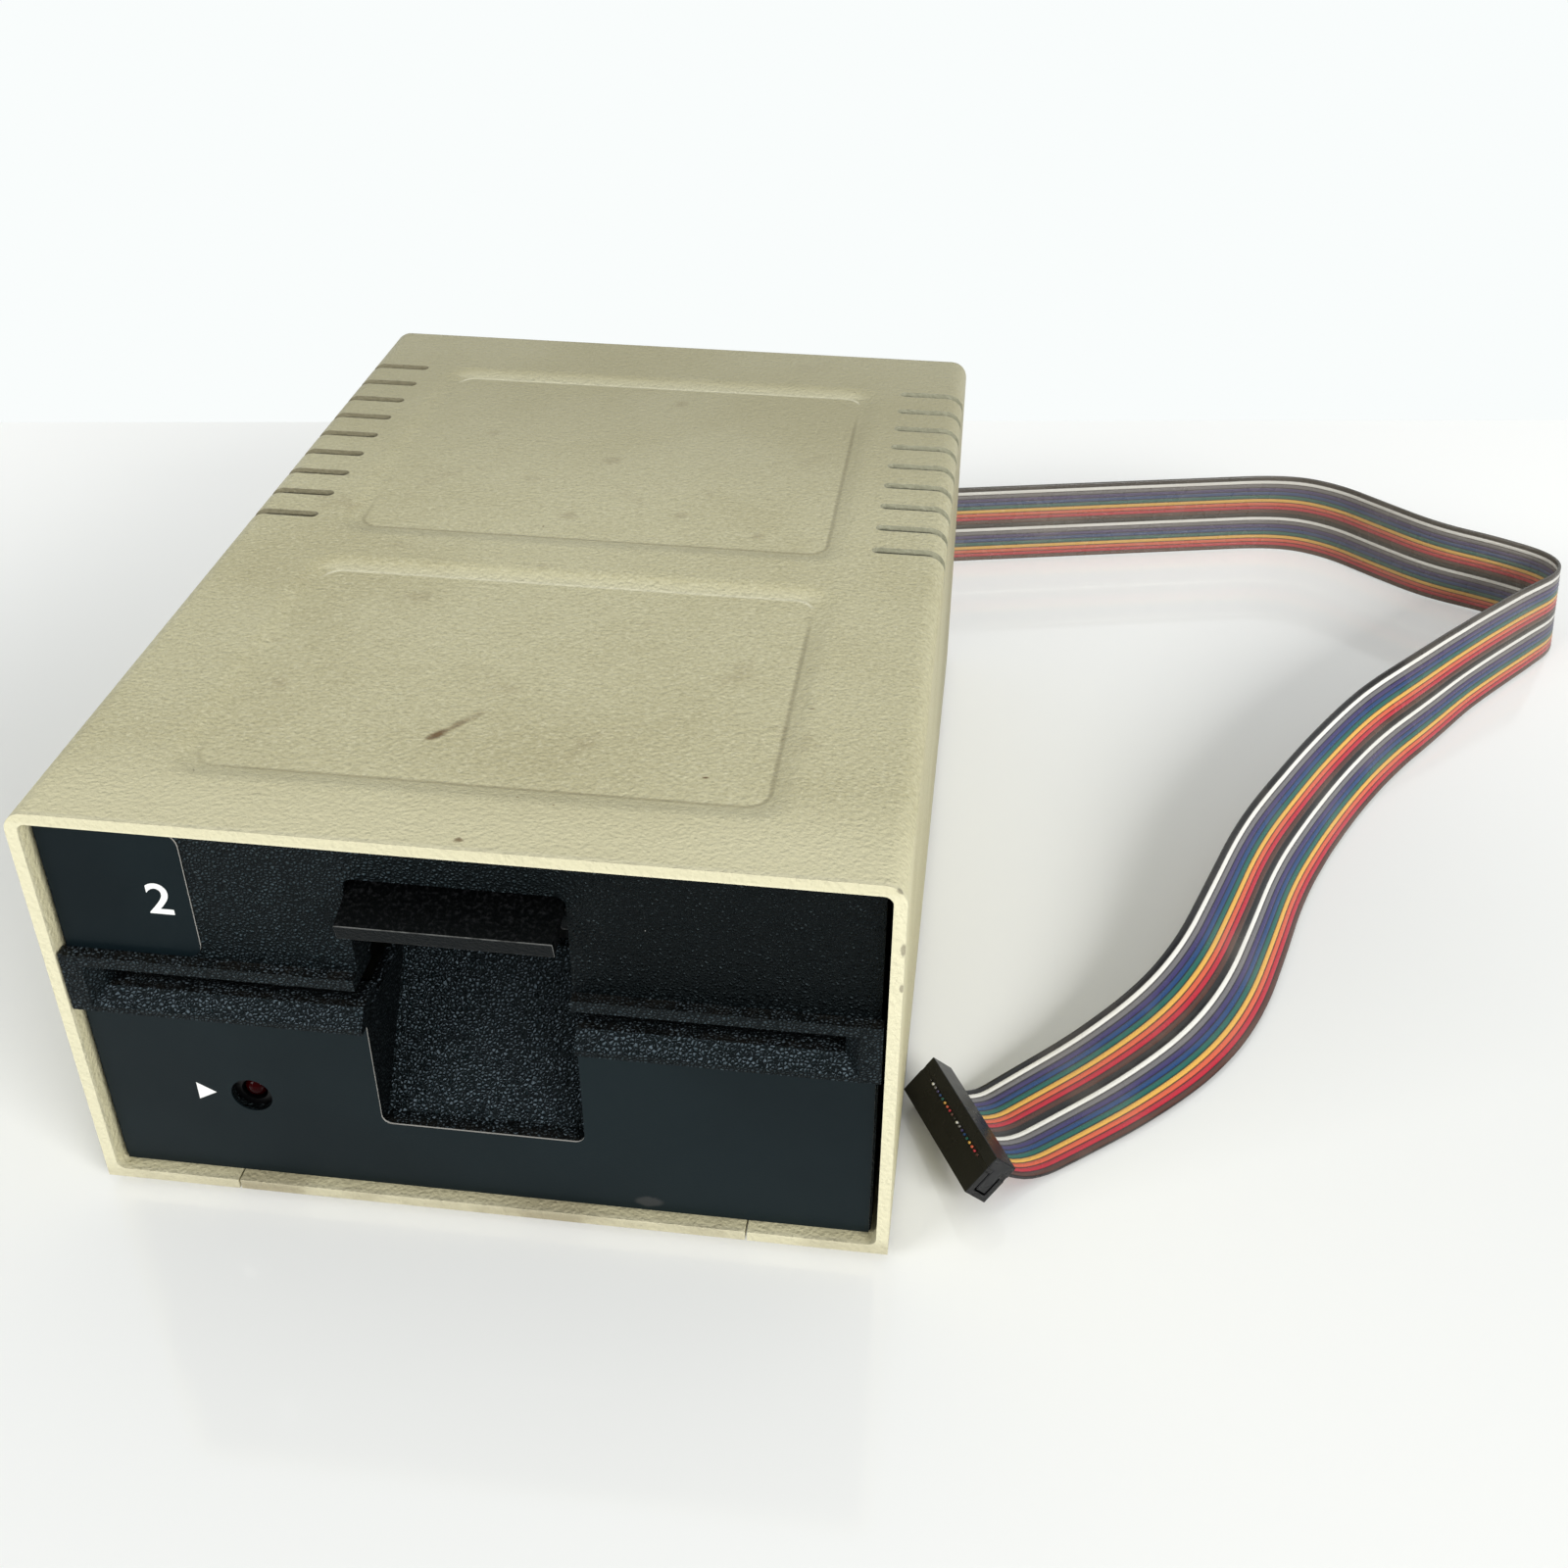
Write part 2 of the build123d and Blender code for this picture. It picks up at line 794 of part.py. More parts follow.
def barrel_point(turn, radius):
    """Point on the lever's barrel, a given turn behind the flap's root."""
    angle = face_angle - turn
    return (pivot_y + radius * cos(angle), pivot_z + radius * sin(angle))


barrel_turn = radians(door_barrel_turn)
door_inner = door_barrel_radius - door_shell
lip_back = door_barrel_radius - door_lip_thickness
door_half = door_opening_half - door_side_gap
with BuildPart() as door_lever:
    with BuildSketch(side_plane(-door_half)):
        with BuildLine():
            Polyline(
                barrel_point(0, door_barrel_radius),
                door_point(door_flap_length, door_barrel_radius),
                door_point(door_flap_length, lip_back),
                door_point(door_flap_length - lip_length, lip_back),
                door_point(door_flap_length - lip_length - lip_slope, door_inner),
                barrel_point(0, door_inner),
            )
            ThreePointArc(
                barrel_point(0, door_inner),
                barrel_point(barrel_turn / 2, door_inner),
                barrel_point(barrel_turn, door_inner),
            )
            Line(barrel_point(barrel_turn, door_inner), barrel_point(barrel_turn, door_barrel_radius))
            ThreePointArc(
                barrel_point(barrel_turn, door_barrel_radius),
                barrel_point(barrel_turn / 2, door_barrel_radius),
                barrel_point(0, door_barrel_radius),
            )
        make_face()
    extrude(amount=2 * door_half)
    # Webs from the shell down to the bosses that turn on the pin
    web_top = (door_inner + door_barrel_radius) / 2
    for web_x in (-door_half, door_half - door_web):
        with BuildSketch(side_plane(web_x)):
            with BuildLine():
                Polyline(
                    (pivot_y, pivot_z),
                    barrel_point(0, web_top),
                    barrel_point(barrel_turn / 2, web_top),
                    barrel_point(barrel_turn, web_top),
                    close=True,
                )
            make_face()
            with Locations((pivot_y, pivot_z)):
                Circle(door_boss_radius)
        extrude(amount=door_web)
    crossbar((-door_half, door_half), pivot_y, pivot_z, door_pin_radius + running_fit, Mode.SUBTRACT)
keep(door_lever, "door_lever")

with BuildPart() as door_pin:
    crossbar((-outer_half, outer_half), pivot_y, pivot_z, door_pin_radius)
keep(door_pin, "door_pin")

# ---------------------------------------------------------------- chassis
housing_radius = bearing_radius + bearing_housing_wall
hub_low = disk_z - hub_height
housing_low = pulley_z + pulley_height + housing_gap
housing_high = hub_low - housing_gap
chassis_y = (front + chassis_front, front + chassis_back)
clamp_y = front + clamp_pivot_depth
clamp_z = base_z + clamp_pivot_level
board_front = front + board_start
board_back = board_front + board_length
board_screw_x = (wall_inner + chassis_half_width) / 2
board_screw_rows = (board_front + board_screw_inset, board_back - board_screw_inset)
board_screw_places = [(x, y) for x in (-board_screw_x, board_screw_x) for y in board_screw_rows]
tab_span = (wall_front, wall_front + tab_thickness)
with BuildPart() as chassis:
    block((-wall_inner, wall_inner), chassis_y, (deck_z, deck_top))
    for span in both_sides(wall_inner, chassis_half_width):
        block(span, (wall_front, chassis_y[1]), (deck_z, board_z))
    # Tabs that the bezel is screwed to
    for span in both_sides(wall_inner - tab_width, wall_inner):
        for z in bezel_screw_levels:
            block(span, tab_span, (z - tab_height / 2, z + tab_height / 2))
    # Bearing housing and the bosses that stand on the base pan
    upright(0, spindle_y, housing_low, housing_radius, housing_high - housing_low)
    for x, y in boss_places:
        upright(x, y, floor_z, boss_radius, deck_z - floor_z)
    housing_length = housing_high - housing_low
    shoulder_radius = bearing_radius - bearing_shoulder
    upright(0, spindle_y, housing_low, shoulder_radius, housing_length, Mode.SUBTRACT)
    for seat in (housing_low, housing_high - bearing_width):
        upright(0, spindle_y, seat, bearing_radius + fixed_fit, bearing_width, Mode.SUBTRACT)
    for x, y in boss_places:
        upright(x, y, floor_z, screw_radius + fixed_fit, boss_screw_depth, Mode.SUBTRACT)
    # Openings for the two motors, and the bores of the clamp's pin and of the screws
    upright(cam_x, cam_y, deck_z, 2 * stepper_shaft_radius, deck_thickness, Mode.SUBTRACT)
    upright(motor_x, motor_y, deck_z, motor_boss_radius, deck_thickness, Mode.SUBTRACT)
    clamp_bore = clamp_pin_radius + fixed_fit
    crossbar((-chassis_half_width, chassis_half_width), clamp_y, clamp_z, clamp_bore, Mode.SUBTRACT)
    for x in (-bezel_screw_x, bezel_screw_x):
        for z in bezel_screw_levels:
            forward_bar(x, tab_span, z, screw_hole_radius, Mode.SUBTRACT)
    for x, y in board_screw_places:
        depth = board_screw_bite + 1.0
        upright(x, y, board_z - depth, board_screw_radius + fixed_fit, depth, Mode.SUBTRACT)
keep(chassis, "chassis")

with BuildPart() as bezel_screws:
    head_y = wall_front + tab_thickness
    for x in (-bezel_screw_x, bezel_screw_x):
        for z in bezel_screw_levels:
            forward_bar(x, (wall_front - bezel_screw_depth, head_y), z, screw_radius)
            forward_bar(x, (head_y, head_y + screw_head_height), z, screw_head_radius)
keep(bezel_screws, "bezel_screws")

# Grooved rails that the disk's edges slide in
rail_front = front + throat_depth + 0.5
rail_back = front + disk_stop_depth
rail_x = disk_half_width - rail_overlap
groove_x = disk_half_width + groove_side_gap
rail_low = disk_z - rail_below_disk
rail_span = (rail_low, rail_low + rail_height)
groove_span = (disk_z - groove_below_disk, disk_z + groove_above_disk)
groove_z = sum(groove_span) / 2
plunger_x = -(rail_x + rail_overlap / 2)
plunger_y = front + plunger_depth
for side, label in ((-1, "guide_rail_left"), (1, "guide_rail_right")):
    with BuildPart() as guide_rail:
        outer = sorted((side * rail_x, side * wall_inner))
        groove = sorted((side * rail_x, side * groove_x))
        block(outer, (rail_front, rail_back), rail_span)
        block(groove, (rail_front, rail_back - rail_end_wall), groove_span, Mode.SUBTRACT)
        # The groove opens out at its front end
        with BuildSketch(front_plane(rail_front)):
            with Locations((sum(groove) / 2, groove_z)):
                Rectangle(groove[1] - groove[0], rail_mouth_height)
        with BuildSketch(front_plane(rail_front + rail_mouth_length)):
            with Locations((sum(groove) / 2, groove_z)):
                Rectangle(groove[1] - groove[0], groove_span[1] - groove_span[0])
        loft(mode=Mode.SUBTRACT)
        if side < 0:
            upright(plunger_x, plunger_y, disk_z, plunger_radius + body_gap, rail_height, Mode.SUBTRACT)
    keep(guide_rail, label)

# ---------------------------------------------------------------- spindle, belt and motor
spindle_axis = Axis((0, spindle_y, 0), (0, 0, 1))
with BuildPart() as spindle_hub:
    with BuildSketch(side_plane(0)):
        with BuildLine():
            Polyline(
                (spindle_y, pulley_z),
                (spindle_y + shaft_radius, pulley_z),
                (spindle_y + shaft_radius, hub_low),
                (spindle_y + hub_radius, hub_low),
                (spindle_y + hub_radius, disk_z),
                (spindle_y + hub_bore_radius, disk_z),
                (spindle_y + hub_bore_radius - hub_bore_taper, disk_z - hub_bore_depth),
                (spindle_y, disk_z - hub_bore_depth),
                close=True,
            )
        make_face()
    revolve(axis=spindle_axis)
    for turn in range(3):
        angle = turn * 2 * pi / 3
        x = hub_hole_ring * cos(angle)
        y = spindle_y + hub_hole_ring * sin(angle)
        upright(x, y, hub_low, hub_hole_radius, hub_height, Mode.SUBTRACT)
keep(spindle_hub, "spindle_hub")

with BuildPart() as spindle_bearings:
    for seat in (housing_low, housing_high - bearing_width):
        upright(0, spindle_y, seat, bearing_radius, bearing_width)
        for face_z in (seat, seat + bearing_width - shield_drop):
            upright(0, spindle_y, face_z, bearing_radius - race_width, shield_drop, Mode.SUBTRACT)
            upright(0, spindle_y, face_z, shaft_radius + race_width, shield_drop)
        upright(0, spindle_y, seat, shaft_radius + running_fit, bearing_width, Mode.SUBTRACT)
keep(spindle_bearings, "spindle_bearings")

with BuildPart() as spindle_pulley:
    upright(0, spindle_y, pulley_z, spindle_pulley_radius, pulley_height)
    web_radius = spindle_pulley_radius - pulley_rim
    for face_z in (pulley_z, pulley_z + pulley_height - pulley_web_drop):
        upright(0, spindle_y, face_z, web_radius, pulley_web_drop, Mode.SUBTRACT)
        upright(0, spindle_y, face_z, pulley_hub_radius, pulley_web_drop)
    for turn in range(6):
        angle = turn * pi / 3
        x = pulley_hole_ring * cos(angle)
        y = spindle_y + pulley_hole_ring * sin(angle)
        upright(x, y, pulley_z, pulley_hole_radius, pulley_height, Mode.SUBTRACT)
    upright(0, spindle_y, pulley_z, shaft_radius + fixed_fit, pulley_height, Mode.SUBTRACT)
keep(spindle_pulley, "spindle_pulley")

belt_ends = ((0, spindle_y, spindle_pulley_radius), (motor_x, motor_y, motor_pulley_radius))
belt_z = pulley_z + (pulley_height - belt_width) / 2
with BuildPart() as drive_belt:
    with BuildSketch(level_plane(belt_z)):
        for x, y, radius in belt_ends:
            with Locations((x, y)):
                Circle(radius + body_gap + belt_thickness)
        make_hull()
    extrude(amount=belt_width)
    with BuildSketch(level_plane(belt_z)):
        for x, y, radius in belt_ends:
            with Locations((x, y)):
                Circle(radius + body_gap)
        make_hull()
    extrude(amount=belt_width, mode=Mode.SUBTRACT)
keep(drive_belt, "drive_belt")

motor_shaft_top = deck_top + motor_shaft_rise
with BuildPart() as drive_motor:
    upright(motor_x, motor_y, deck_top, motor_radius, motor_height)
    chamfer(drive_motor.faces().sort_by(Axis.Z)[-1].edges(), motor_chamfer)
    upright(motor_x, motor_y, deck_top + motor_height, motor_cap_radius, motor_chamfer)
    upright(motor_x, motor_y, deck_z, motor_boss_radius - running_fit, deck_thickness)
    motor_bore = motor_shaft_radius + running_fit
    upright(motor_x, motor_y, deck_z, motor_bore, motor_bore_depth, Mode.SUBTRACT)
keep(drive_motor, "drive_motor")

with BuildPart() as motor_pulley:
    upright(motor_x, motor_y, pulley_z, motor_pulley_radius, pulley_height)
    upright(motor_x, motor_y, pulley_z + pulley_height, motor_pulley_radius / 2, 2 * motor_shaft_radius)
    upright(motor_x, motor_y, pulley_z, motor_shaft_radius, motor_shaft_top - pulley_z)
keep(motor_pulley, "motor_pulley")

# ---------------------------------------------------------------- head positioner
stepper_low = floor_z + case_wall + body_gap
stepper_bore = stepper_shaft_radius + running_fit
with BuildPart() as stepper_motor:
    upright(cam_x, cam_y, stepper_low, stepper_radius, deck_z - stepper_low)
    chamfer(stepper_motor.faces().sort_by(Axis.Z)[0].edges(), motor_chamfer)
    upright(cam_x, cam_y, deck_z - motor_bore_depth, stepper_bore, motor_bore_depth, Mode.SUBTRACT)
keep(stepper_motor, "stepper_motor")

# The groove is an Archimedean spiral, so the head moves in step with the disc's turn
spiral_rate = head_travel / radians(cam_turn)
groove_half = (follower_radius + body_gap) / cos(pi / 8)
groove_overrun = radians(12.0)
groove_steps = 26


def spiral_point(share, radial):
    """Point at the given share of the groove, moved outwards by a radial distance."""
    turn = -groove_overrun + share * (radians(cam_turn) + 2 * groove_overrun)
    radius = cam_start_radius + spiral_rate * turn + radial
    angle = -pi / 2 - turn
    return (cam_x + radius * cos(angle), cam_y + radius * sin(angle))


with BuildPart() as cam_disc:
    upright(cam_x, cam_y, cam_z, cam_radius, cam_thickness)
    shares = [step / groove_steps for step in range(groove_steps + 1)]
    inner_edge = [spiral_point(share, -groove_half) for share in shares]
    outer_edge = [spiral_point(share, groove_half) for share in shares]
    with BuildSketch(level_plane(cam_z + cam_thickness)):
        with BuildLine():
            Spline(*inner_edge)
            Line(inner_edge[-1], outer_edge[-1])
            Spline(*outer_edge)
            Line(outer_edge[0], inner_edge[0])
        make_face()
    extrude(amount=-groove_depth, mode=Mode.SUBTRACT)
    upright(cam_x, cam_y, cam_z - 1.0, cam_hub_radius, 1.0)
    shaft_low = deck_z - stepper_shaft_grip
    upright(cam_x, cam_y, shaft_low, stepper_shaft_radius, cam_z - shaft_low + 1.0)
keep(cam_disc, "cam_disc")

rod_span = (front + rod_front, front + rod_back)
with BuildPart() as guide_rods:
    for side in (-1, 1):
        forward_bar(side * rod_x, rod_span, rod_z, rod_radius)
keep(guide_rods, "guide_rods")

with BuildPart() as rod_clamps:
    for side in (-1, 1):
        for low_y in (rod_span[0], rod_span[1] - post_length):
            x_span = (side * rod_x - post_width / 2, side * rod_x + post_width / 2)
            y_span = (low_y, low_y + post_length)
            block(x_span, y_span, (deck_top, rod_z + rod_radius + post_cap))
            forward_bar(side * rod_x, y_span, rod_z, rod_radius + fixed_fit, Mode.SUBTRACT)
keep(rod_clamps, "rod_clamps")

head_y = spindle_y + track_zero_radius
follower_y = cam_y - cam_start_radius
carriage_low = rod_z - rod_radius - carriage_wall
carriage_high = rod_z + rod_radius + carriage_wall
carriage_span = (head_y - carriage_overhang, follower_y + follower_overhang)
head_seat_z = disk_z - head_height + 0.1
load_y = head_y + load_pivot_back
load_z = base_z + load_pivot_level
ear_outer = ear_inner + ear_width
with BuildPart() as head_carriage:
    block((-carriage_half_width, carriage_half_width), carriage_span, (carriage_low, carriage_high))
    block(
        (-head_seat_half, head_seat_half),
        (head_y - carriage_overhang, head_y + carriage_overhang),
        (carriage_high, head_seat_z),
    )
    for span in both_sides(ear_inner, ear_outer):
        ear_span = (load_y - ear_half_length, load_y + ear_half_length)
        block(span, ear_span, (carriage_high, load_z + ear_cap))
    for x in (-rod_x, rod_x):
        forward_bar(x, carriage_span, rod_z, rod_radius + running_fit, Mode.SUBTRACT)
    crossbar((-ear_outer, ear_outer), load_y, load_z, load_pin_radius + fixed_fit, Mode.SUBTRACT)
    follower_bore = follower_radius + fixed_fit
    upright(cam_x, follower_y, carriage_low, follower_bore, follower_grip, Mode.SUBTRACT)
keep(head_carriage, "head_carriage")

with BuildPart() as read_write_head:
    upright(0, head_y, head_seat_z, head_radius, head_height)
    chamfer(read_write_head.faces().sort_by(Axis.Z)[-1].edges(), body_gap)
keep(read_write_head, "read_write_head")

with BuildPart() as cam_follower:
    follower_low = cam_z + cam_thickness - groove_depth + body_gap
    upright(cam_x, follower_y, follower_low, follower_radius, carriage_low + follower_grip - follower_low)
keep(cam_follower, "cam_follower")

with BuildPart() as load_pin:
    crossbar((-ear_outer, ear_outer), load_y, load_z, load_pin_radius)
keep(load_pin, "load_pin")

# The load arm is drawn lifted: its plane leans about the pin
lean = radians(load_lift)
load_plane = Plane(origin=(0, load_y, load_z), x_dir=(1, 0, 0), z_dir=(0, sin(lean), cos(lean)))
arm_half = ear_inner - body_gap
arm_low = -arm_thickness / 2
arm_length = load_pivot_back + head_radius + 1.0
pad_low = disk_level + pad_clearance - load_pivot_level
with BuildPart() as load_arm:
    with BuildSketch(load_plane.offset(arm_low)):
        with Locations((0, -arm_length / 2)):
            Rectangle(2 * arm_half, arm_length)
    extrude(amount=arm_thickness)
    with BuildSketch(load_plane.offset(pad_low + pad_height)):
        with Locations((0, -load_pivot_back)):
            Circle(head_radius)
    extrude(amount=arm_low - pad_low - pad_height)
    crossbar((-arm_half, arm_half), load_y, load_z, 2 * load_pin_radius)
    crossbar((-arm_half, arm_half), load_y, load_z, load_pin_radius + running_fit, Mode.SUBTRACT)
keep(load_arm, "load_arm")

with BuildPart() as load_pad:
    with BuildSketch(load_plane.offset(pad_low)):
        with Locations((0, -load_pivot_back)):
            Circle(pad_radius)
    extrude(amount=pad_height)
keep(load_pad, "load_pad")

# ---------------------------------------------------------------- hub clamp, drawn lifted
lift = radians(clamp_lift)
clamp_plane = Plane(origin=(0, clamp_y, clamp_z), x_dir=(1, 0, 0), z_dir=(0, sin(lift), cos(lift)))
plate_top = -clamp_plate_drop
plate_low = plate_top - clamp_sheet
cone_back = clamp_pivot_depth - spindle_depth
tongue_end = clamp_pivot_depth - ramp_top_depth - cheek_wall - 1.5
cone_boss_low = plate_low - 1.0
cone_boss_top = plate_top + clamp_flange
ring_low = disk_level + body_gap - clamp_pivot_level
plate_ends = (-cone_back - plate_half_length, -cone_back + plate_half_length)
collar_high = cone_boss_low - spring_height - body_gap
clip_low = cone_boss_top + body_gap
nose_radius = hub_bore_radius - 2 * body_gap


def tilted_block(x_span, y_span, z_span, mode=Mode.ADD):
    """Box in the lifted clamp's own coordinates, in the current part."""
    sizes = [span[1] - span[0] for span in (x_span, y_span, z_span)]
    middle = [(span[0] + span[1]) / 2 for span in (x_span, y_span, z_span)]
    with Locations(clamp_plane.location * Location(tuple(middle))):
        Box(*sizes, mode=mode)


def tilted_disc(y, radius, z_span, mode=Mode.ADD):
    """Cylinder along the cone's axis, in the current part."""
    with Locations(clamp_plane.location * Location((0, y, (z_span[0] + z_span[1]) / 2))):
        Cylinder(radius, z_span[1] - z_span[0], mode=mode)


with BuildPart() as clamp_arm:
    tilted_block((-clamp_half_width, clamp_half_width), plate_ends, (plate_low, plate_top))
    tongue_span = (-tongue_end, plate_ends[0])
    tilted_block((-tongue_half_width, tongue_half_width), tongue_span, (plate_low, plate_top))
    for span in both_sides(clamp_half_width - clamp_sheet, clamp_half_width):
        tilted_block(span, (plate_ends[0], -clamp_eye_radius), (plate_low, plate_top + clamp_flange))
        with BuildSketch(side_plane(span[0])):
            with Locations((clamp_y, clamp_z)):
                Circle(clamp_eye_radius)
            # Gusset between the eye and the flange
            with BuildLine():
                Polyline(
                    (clamp_y, clamp_z + 3.0),
                    (clamp_y, clamp_z - 4.0),
                    (clamp_y - 12.0, clamp_z - 5.5),
                    (clamp_y - 12.0, clamp_z - 1.5),
                    close=True,
                )
            make_face()
        extrude(amount=clamp_sheet)
    boss_span = (cone_boss_low, cone_boss_top)
    tilted_disc(-cone_back, cone_boss_radius, boss_span)
    tilted_disc(-cone_back, cone_post_radius + running_fit, boss_span, Mode.SUBTRACT)
    arm_bore = clamp_pin_radius + running_fit
    crossbar((-clamp_half_width, clamp_half_width), clamp_y, clamp_z, arm_bore, Mode.SUBTRACT)
keep(clamp_arm, "clamp_arm")

with BuildPart() as clamp_pin:
    crossbar((-chassis_half_width, chassis_half_width), clamp_y, clamp_z, clamp_pin_radius)
keep(clamp_pin, "clamp_pin")

with BuildPart() as clamp_cone:
    with BuildSketch(clamp_plane.offset(ring_low - nose_depth)):
        with Locations((0, -cone_back)):
            Circle(nose_radius - cone_nose_taper)
    with BuildSketch(clamp_plane.offset(ring_low)):
        with Locations((0, -cone_back)):
            Circle(nose_radius)
    loft()
    tilted_disc(-cone_back, hub_radius - ring_edge, (ring_low, ring_low + ring_height))
    tilted_disc(-cone_back, cone_collar_radius, (ring_low + ring_height, collar_high))
    tilted_disc(-cone_back, cone_post_radius, (ring_low, clip_low + 2 * clip_height))
keep(clamp_cone, "clamp_cone")

with BuildPart() as cone_clip:
    clip_span = (clip_low, clip_low + clip_height)
    tilted_disc(-cone_back, clip_radius, clip_span)
    tilted_disc(-cone_back, cone_post_radius + fixed_fit, clip_span, Mode.SUBTRACT)
keep(cone_clip, "cone_clip")

# Spring round the cone's post, drawn as the sleeve that its coils fill
spring_inner = cone_post_radius + body_gap
with BuildPart() as cone_spring:
    spring_span = (cone_boss_low - spring_height, cone_boss_low)
    tilted_disc(-cone_back, spring_inner + spring_wire, spring_span)
    tilted_disc(-cone_back, spring_inner, spring_span, Mode.SUBTRACT)
keep(cone_spring, "cone_spring")

# ---------------------------------------------------------------- write-protect switch
switch_low = rail_span[1]
plunger_low = disk_z + plunger_tip
plunger_high = switch_low + plunger_grip
with BuildPart() as switch_body:
    block(
        (-wall_inner, switch_width - wall_inner),
        (plunger_y - switch_length / 2, plunger_y + switch_length / 2),
        (switch_low, switch_low + switch_height),
    )
    plunger_bore = plunger_radius + running_fit
    bore_depth = plunger_grip + plunger_travel + body_gap
    upright(plunger_x, plunger_y, switch_low, plunger_bore, bore_depth, Mode.SUBTRACT)
keep(switch_body, "switch_body")

with BuildPart() as switch_plunger:
    upright(plunger_x, plunger_y, plunger_low, plunger_radius, plunger_high - plunger_low)
keep(switch_plunger, "switch_plunger")

# ---------------------------------------------------------------- circuit boards
board_top = board_z + board_thickness
board_half = chassis_half_width - label_margin
header_y = board_back - header_width
with BuildPart() as analog_board:
    block((-board_half, board_half), (board_front, board_back), (board_z, board_top))
    for x, y in board_screw_places:
        upright(x, y, board_z, board_screw_radius + body_gap, board_thickness, Mode.SUBTRACT)
keep(analog_board, "analog_board")

with BuildPart() as board_screws:
    for x, y in board_screw_places:
        board_screw_low = board_z - board_screw_bite
        upright(x, y, board_screw_low, board_screw_radius, board_top - board_screw_low)
        upright(x, y, board_top, board_screw_head, board_screw_head_height)
keep(board_screws, "board_screws")

chip_places = ((-44.0, 22.0), (-18.0, 22.0), (10.0, 22.0), (-44.0, 50.0), (-18.0, 50.0))
with BuildPart() as board_chips:
    for x, row in chip_places:
        y = board_front + row
        block(
            (x - chip_length / 2, x + chip_length / 2),
            (y - chip_width / 2, y + chip_width / 2),
            (board_top + chip_standoff, board_top + chip_standoff + chip_height),
        )
        leg_inner = chip_width / 2 - chip_leg_bite
        leg_outer = chip_width / 2 + chip_leg_reach
        for pin in range(chip_pins):
            pin_x = x + (pin - (chip_pins - 1) / 2) * pin_pitch
            leg_span = (pin_x - chip_leg_width / 2, pin_x + chip_leg_width / 2)
            for side in (-1, 1):
                leg = sorted((y + side * leg_inner, y + side * leg_outer))
                block(leg_span, leg, (board_top, board_top + chip_leg_height))
keep(board_chips, "board_chips")

can_places = ((40.0, 18.0, 4.0, 7.5), (52.0, 18.0, 4.0, 7.5), (46.0, 32.0, 3.2, 7.0))
resistor_starts = (resistor_x, resistor_edge_inset - board_half)
with BuildPart() as board_parts:
    # Capacitor cans, two rows of resistors, adjusters with transistors, and two coils
    for x, row, radius, height in can_places:
        upright(x, board_front + row, board_top, radius, height)
    for number in range(resistor_count):
        y = board_front + resistor_row + resistor_pitch * number
        for start in resistor_starts:
            crossbar((start, start + resistor_length), y, board_top + resistor_radius, resistor_radius)
    for number in range(adjuster_count):
        x = adjuster_x + adjuster_pitch * number
        adjuster_y = board_front + adjuster_row
        block(
            (x - adjuster_width / 2, x + adjuster_width / 2),
            (adjuster_y, adjuster_y + adjuster_depth),
            (board_top, board_top + adjuster_height),
        )
        upright(x, board_front + transistor_row, board_top, transistor_radius, transistor_height)
    for number in range(coil_count):
        y = board_front + coil_row + coil_pitch * number
        crossbar((coil_x, coil_x + coil_length), y, board_top + coil_radius, coil_radius)
keep(board_parts, "board_parts")

header_half = ribbon_width / 2 + header_end
header_span = (outlet_x - header_half, outlet_x + header_half)
header_top = board_top + header_height
pin_height = 3.6
with BuildPart() as board_header:
    header_sides = (header_y - header_width / 2, header_y + header_width / 2)
    block(header_span, header_sides, (board_top, header_top))
    with Locations((outlet_x, header_y, header_top + pin_height / 2)):
        with GridLocations(pin_pitch, pin_pitch, ribbon_ways // 2, 2):
            Box(pin_size, pin_size, pin_height)
keep(board_header, "board_header")

inner_plug_high = header_top + inner_plug_height
inner_plug_half = inner_plug_width / 2
ribbon_high = inner_plug_high - board_thickness
with BuildPart() as inner_plug:
    plug_sides = (header_y - inner_plug_half, header_y + inner_plug_half)
    block(header_span, plug_sides, (header_top, inner_plug_high))
    cavity = (outlet_x - ribbon_width / 2, outlet_x + ribbon_width / 2)
    cavity_sides = (header_y - pin_pitch + body_gap, header_y + pin_pitch - body_gap)
    block(cavity, cavity_sides, (header_top, header_top + pin_height + body_gap), Mode.SUBTRACT)
keep(inner_plug, "inner_plug")

# The ribbon inside the case: from the board's plug over the edge, down, and out at the back
drop_y = chassis_y[1] + drop_behind_chassis
with BuildPart() as inner_ribbon:
    with BuildSketch(side_plane(outlet_x - ribbon_width / 2)):
        with BuildLine():
            FilletPolyline(
                (header_y + inner_plug_half, ribbon_high),
                (drop_y, ribbon_high),
                (drop_y, outlet_z),
                (back, outlet_z),
                radius=bend_radius,
            )
        trace(line_width=ribbon_thickness)
    extrude(amount=ribbon_width)
keep(inner_ribbon, "inner_ribbon")

speed_board_y = chassis_y[1] - speed_board_inset
speed_board_edge = speed_board_side_gap - wall_inner
speed_board_span = (speed_board_edge, speed_board_edge + speed_board_width)
with BuildPart() as speed_board:
    speed_board_sides = (speed_board_y, speed_board_y + board_thickness)
    block(speed_board_span, speed_board_sides, (deck_top, board_z - speed_board_top_gap))
keep(speed_board, "speed_board")

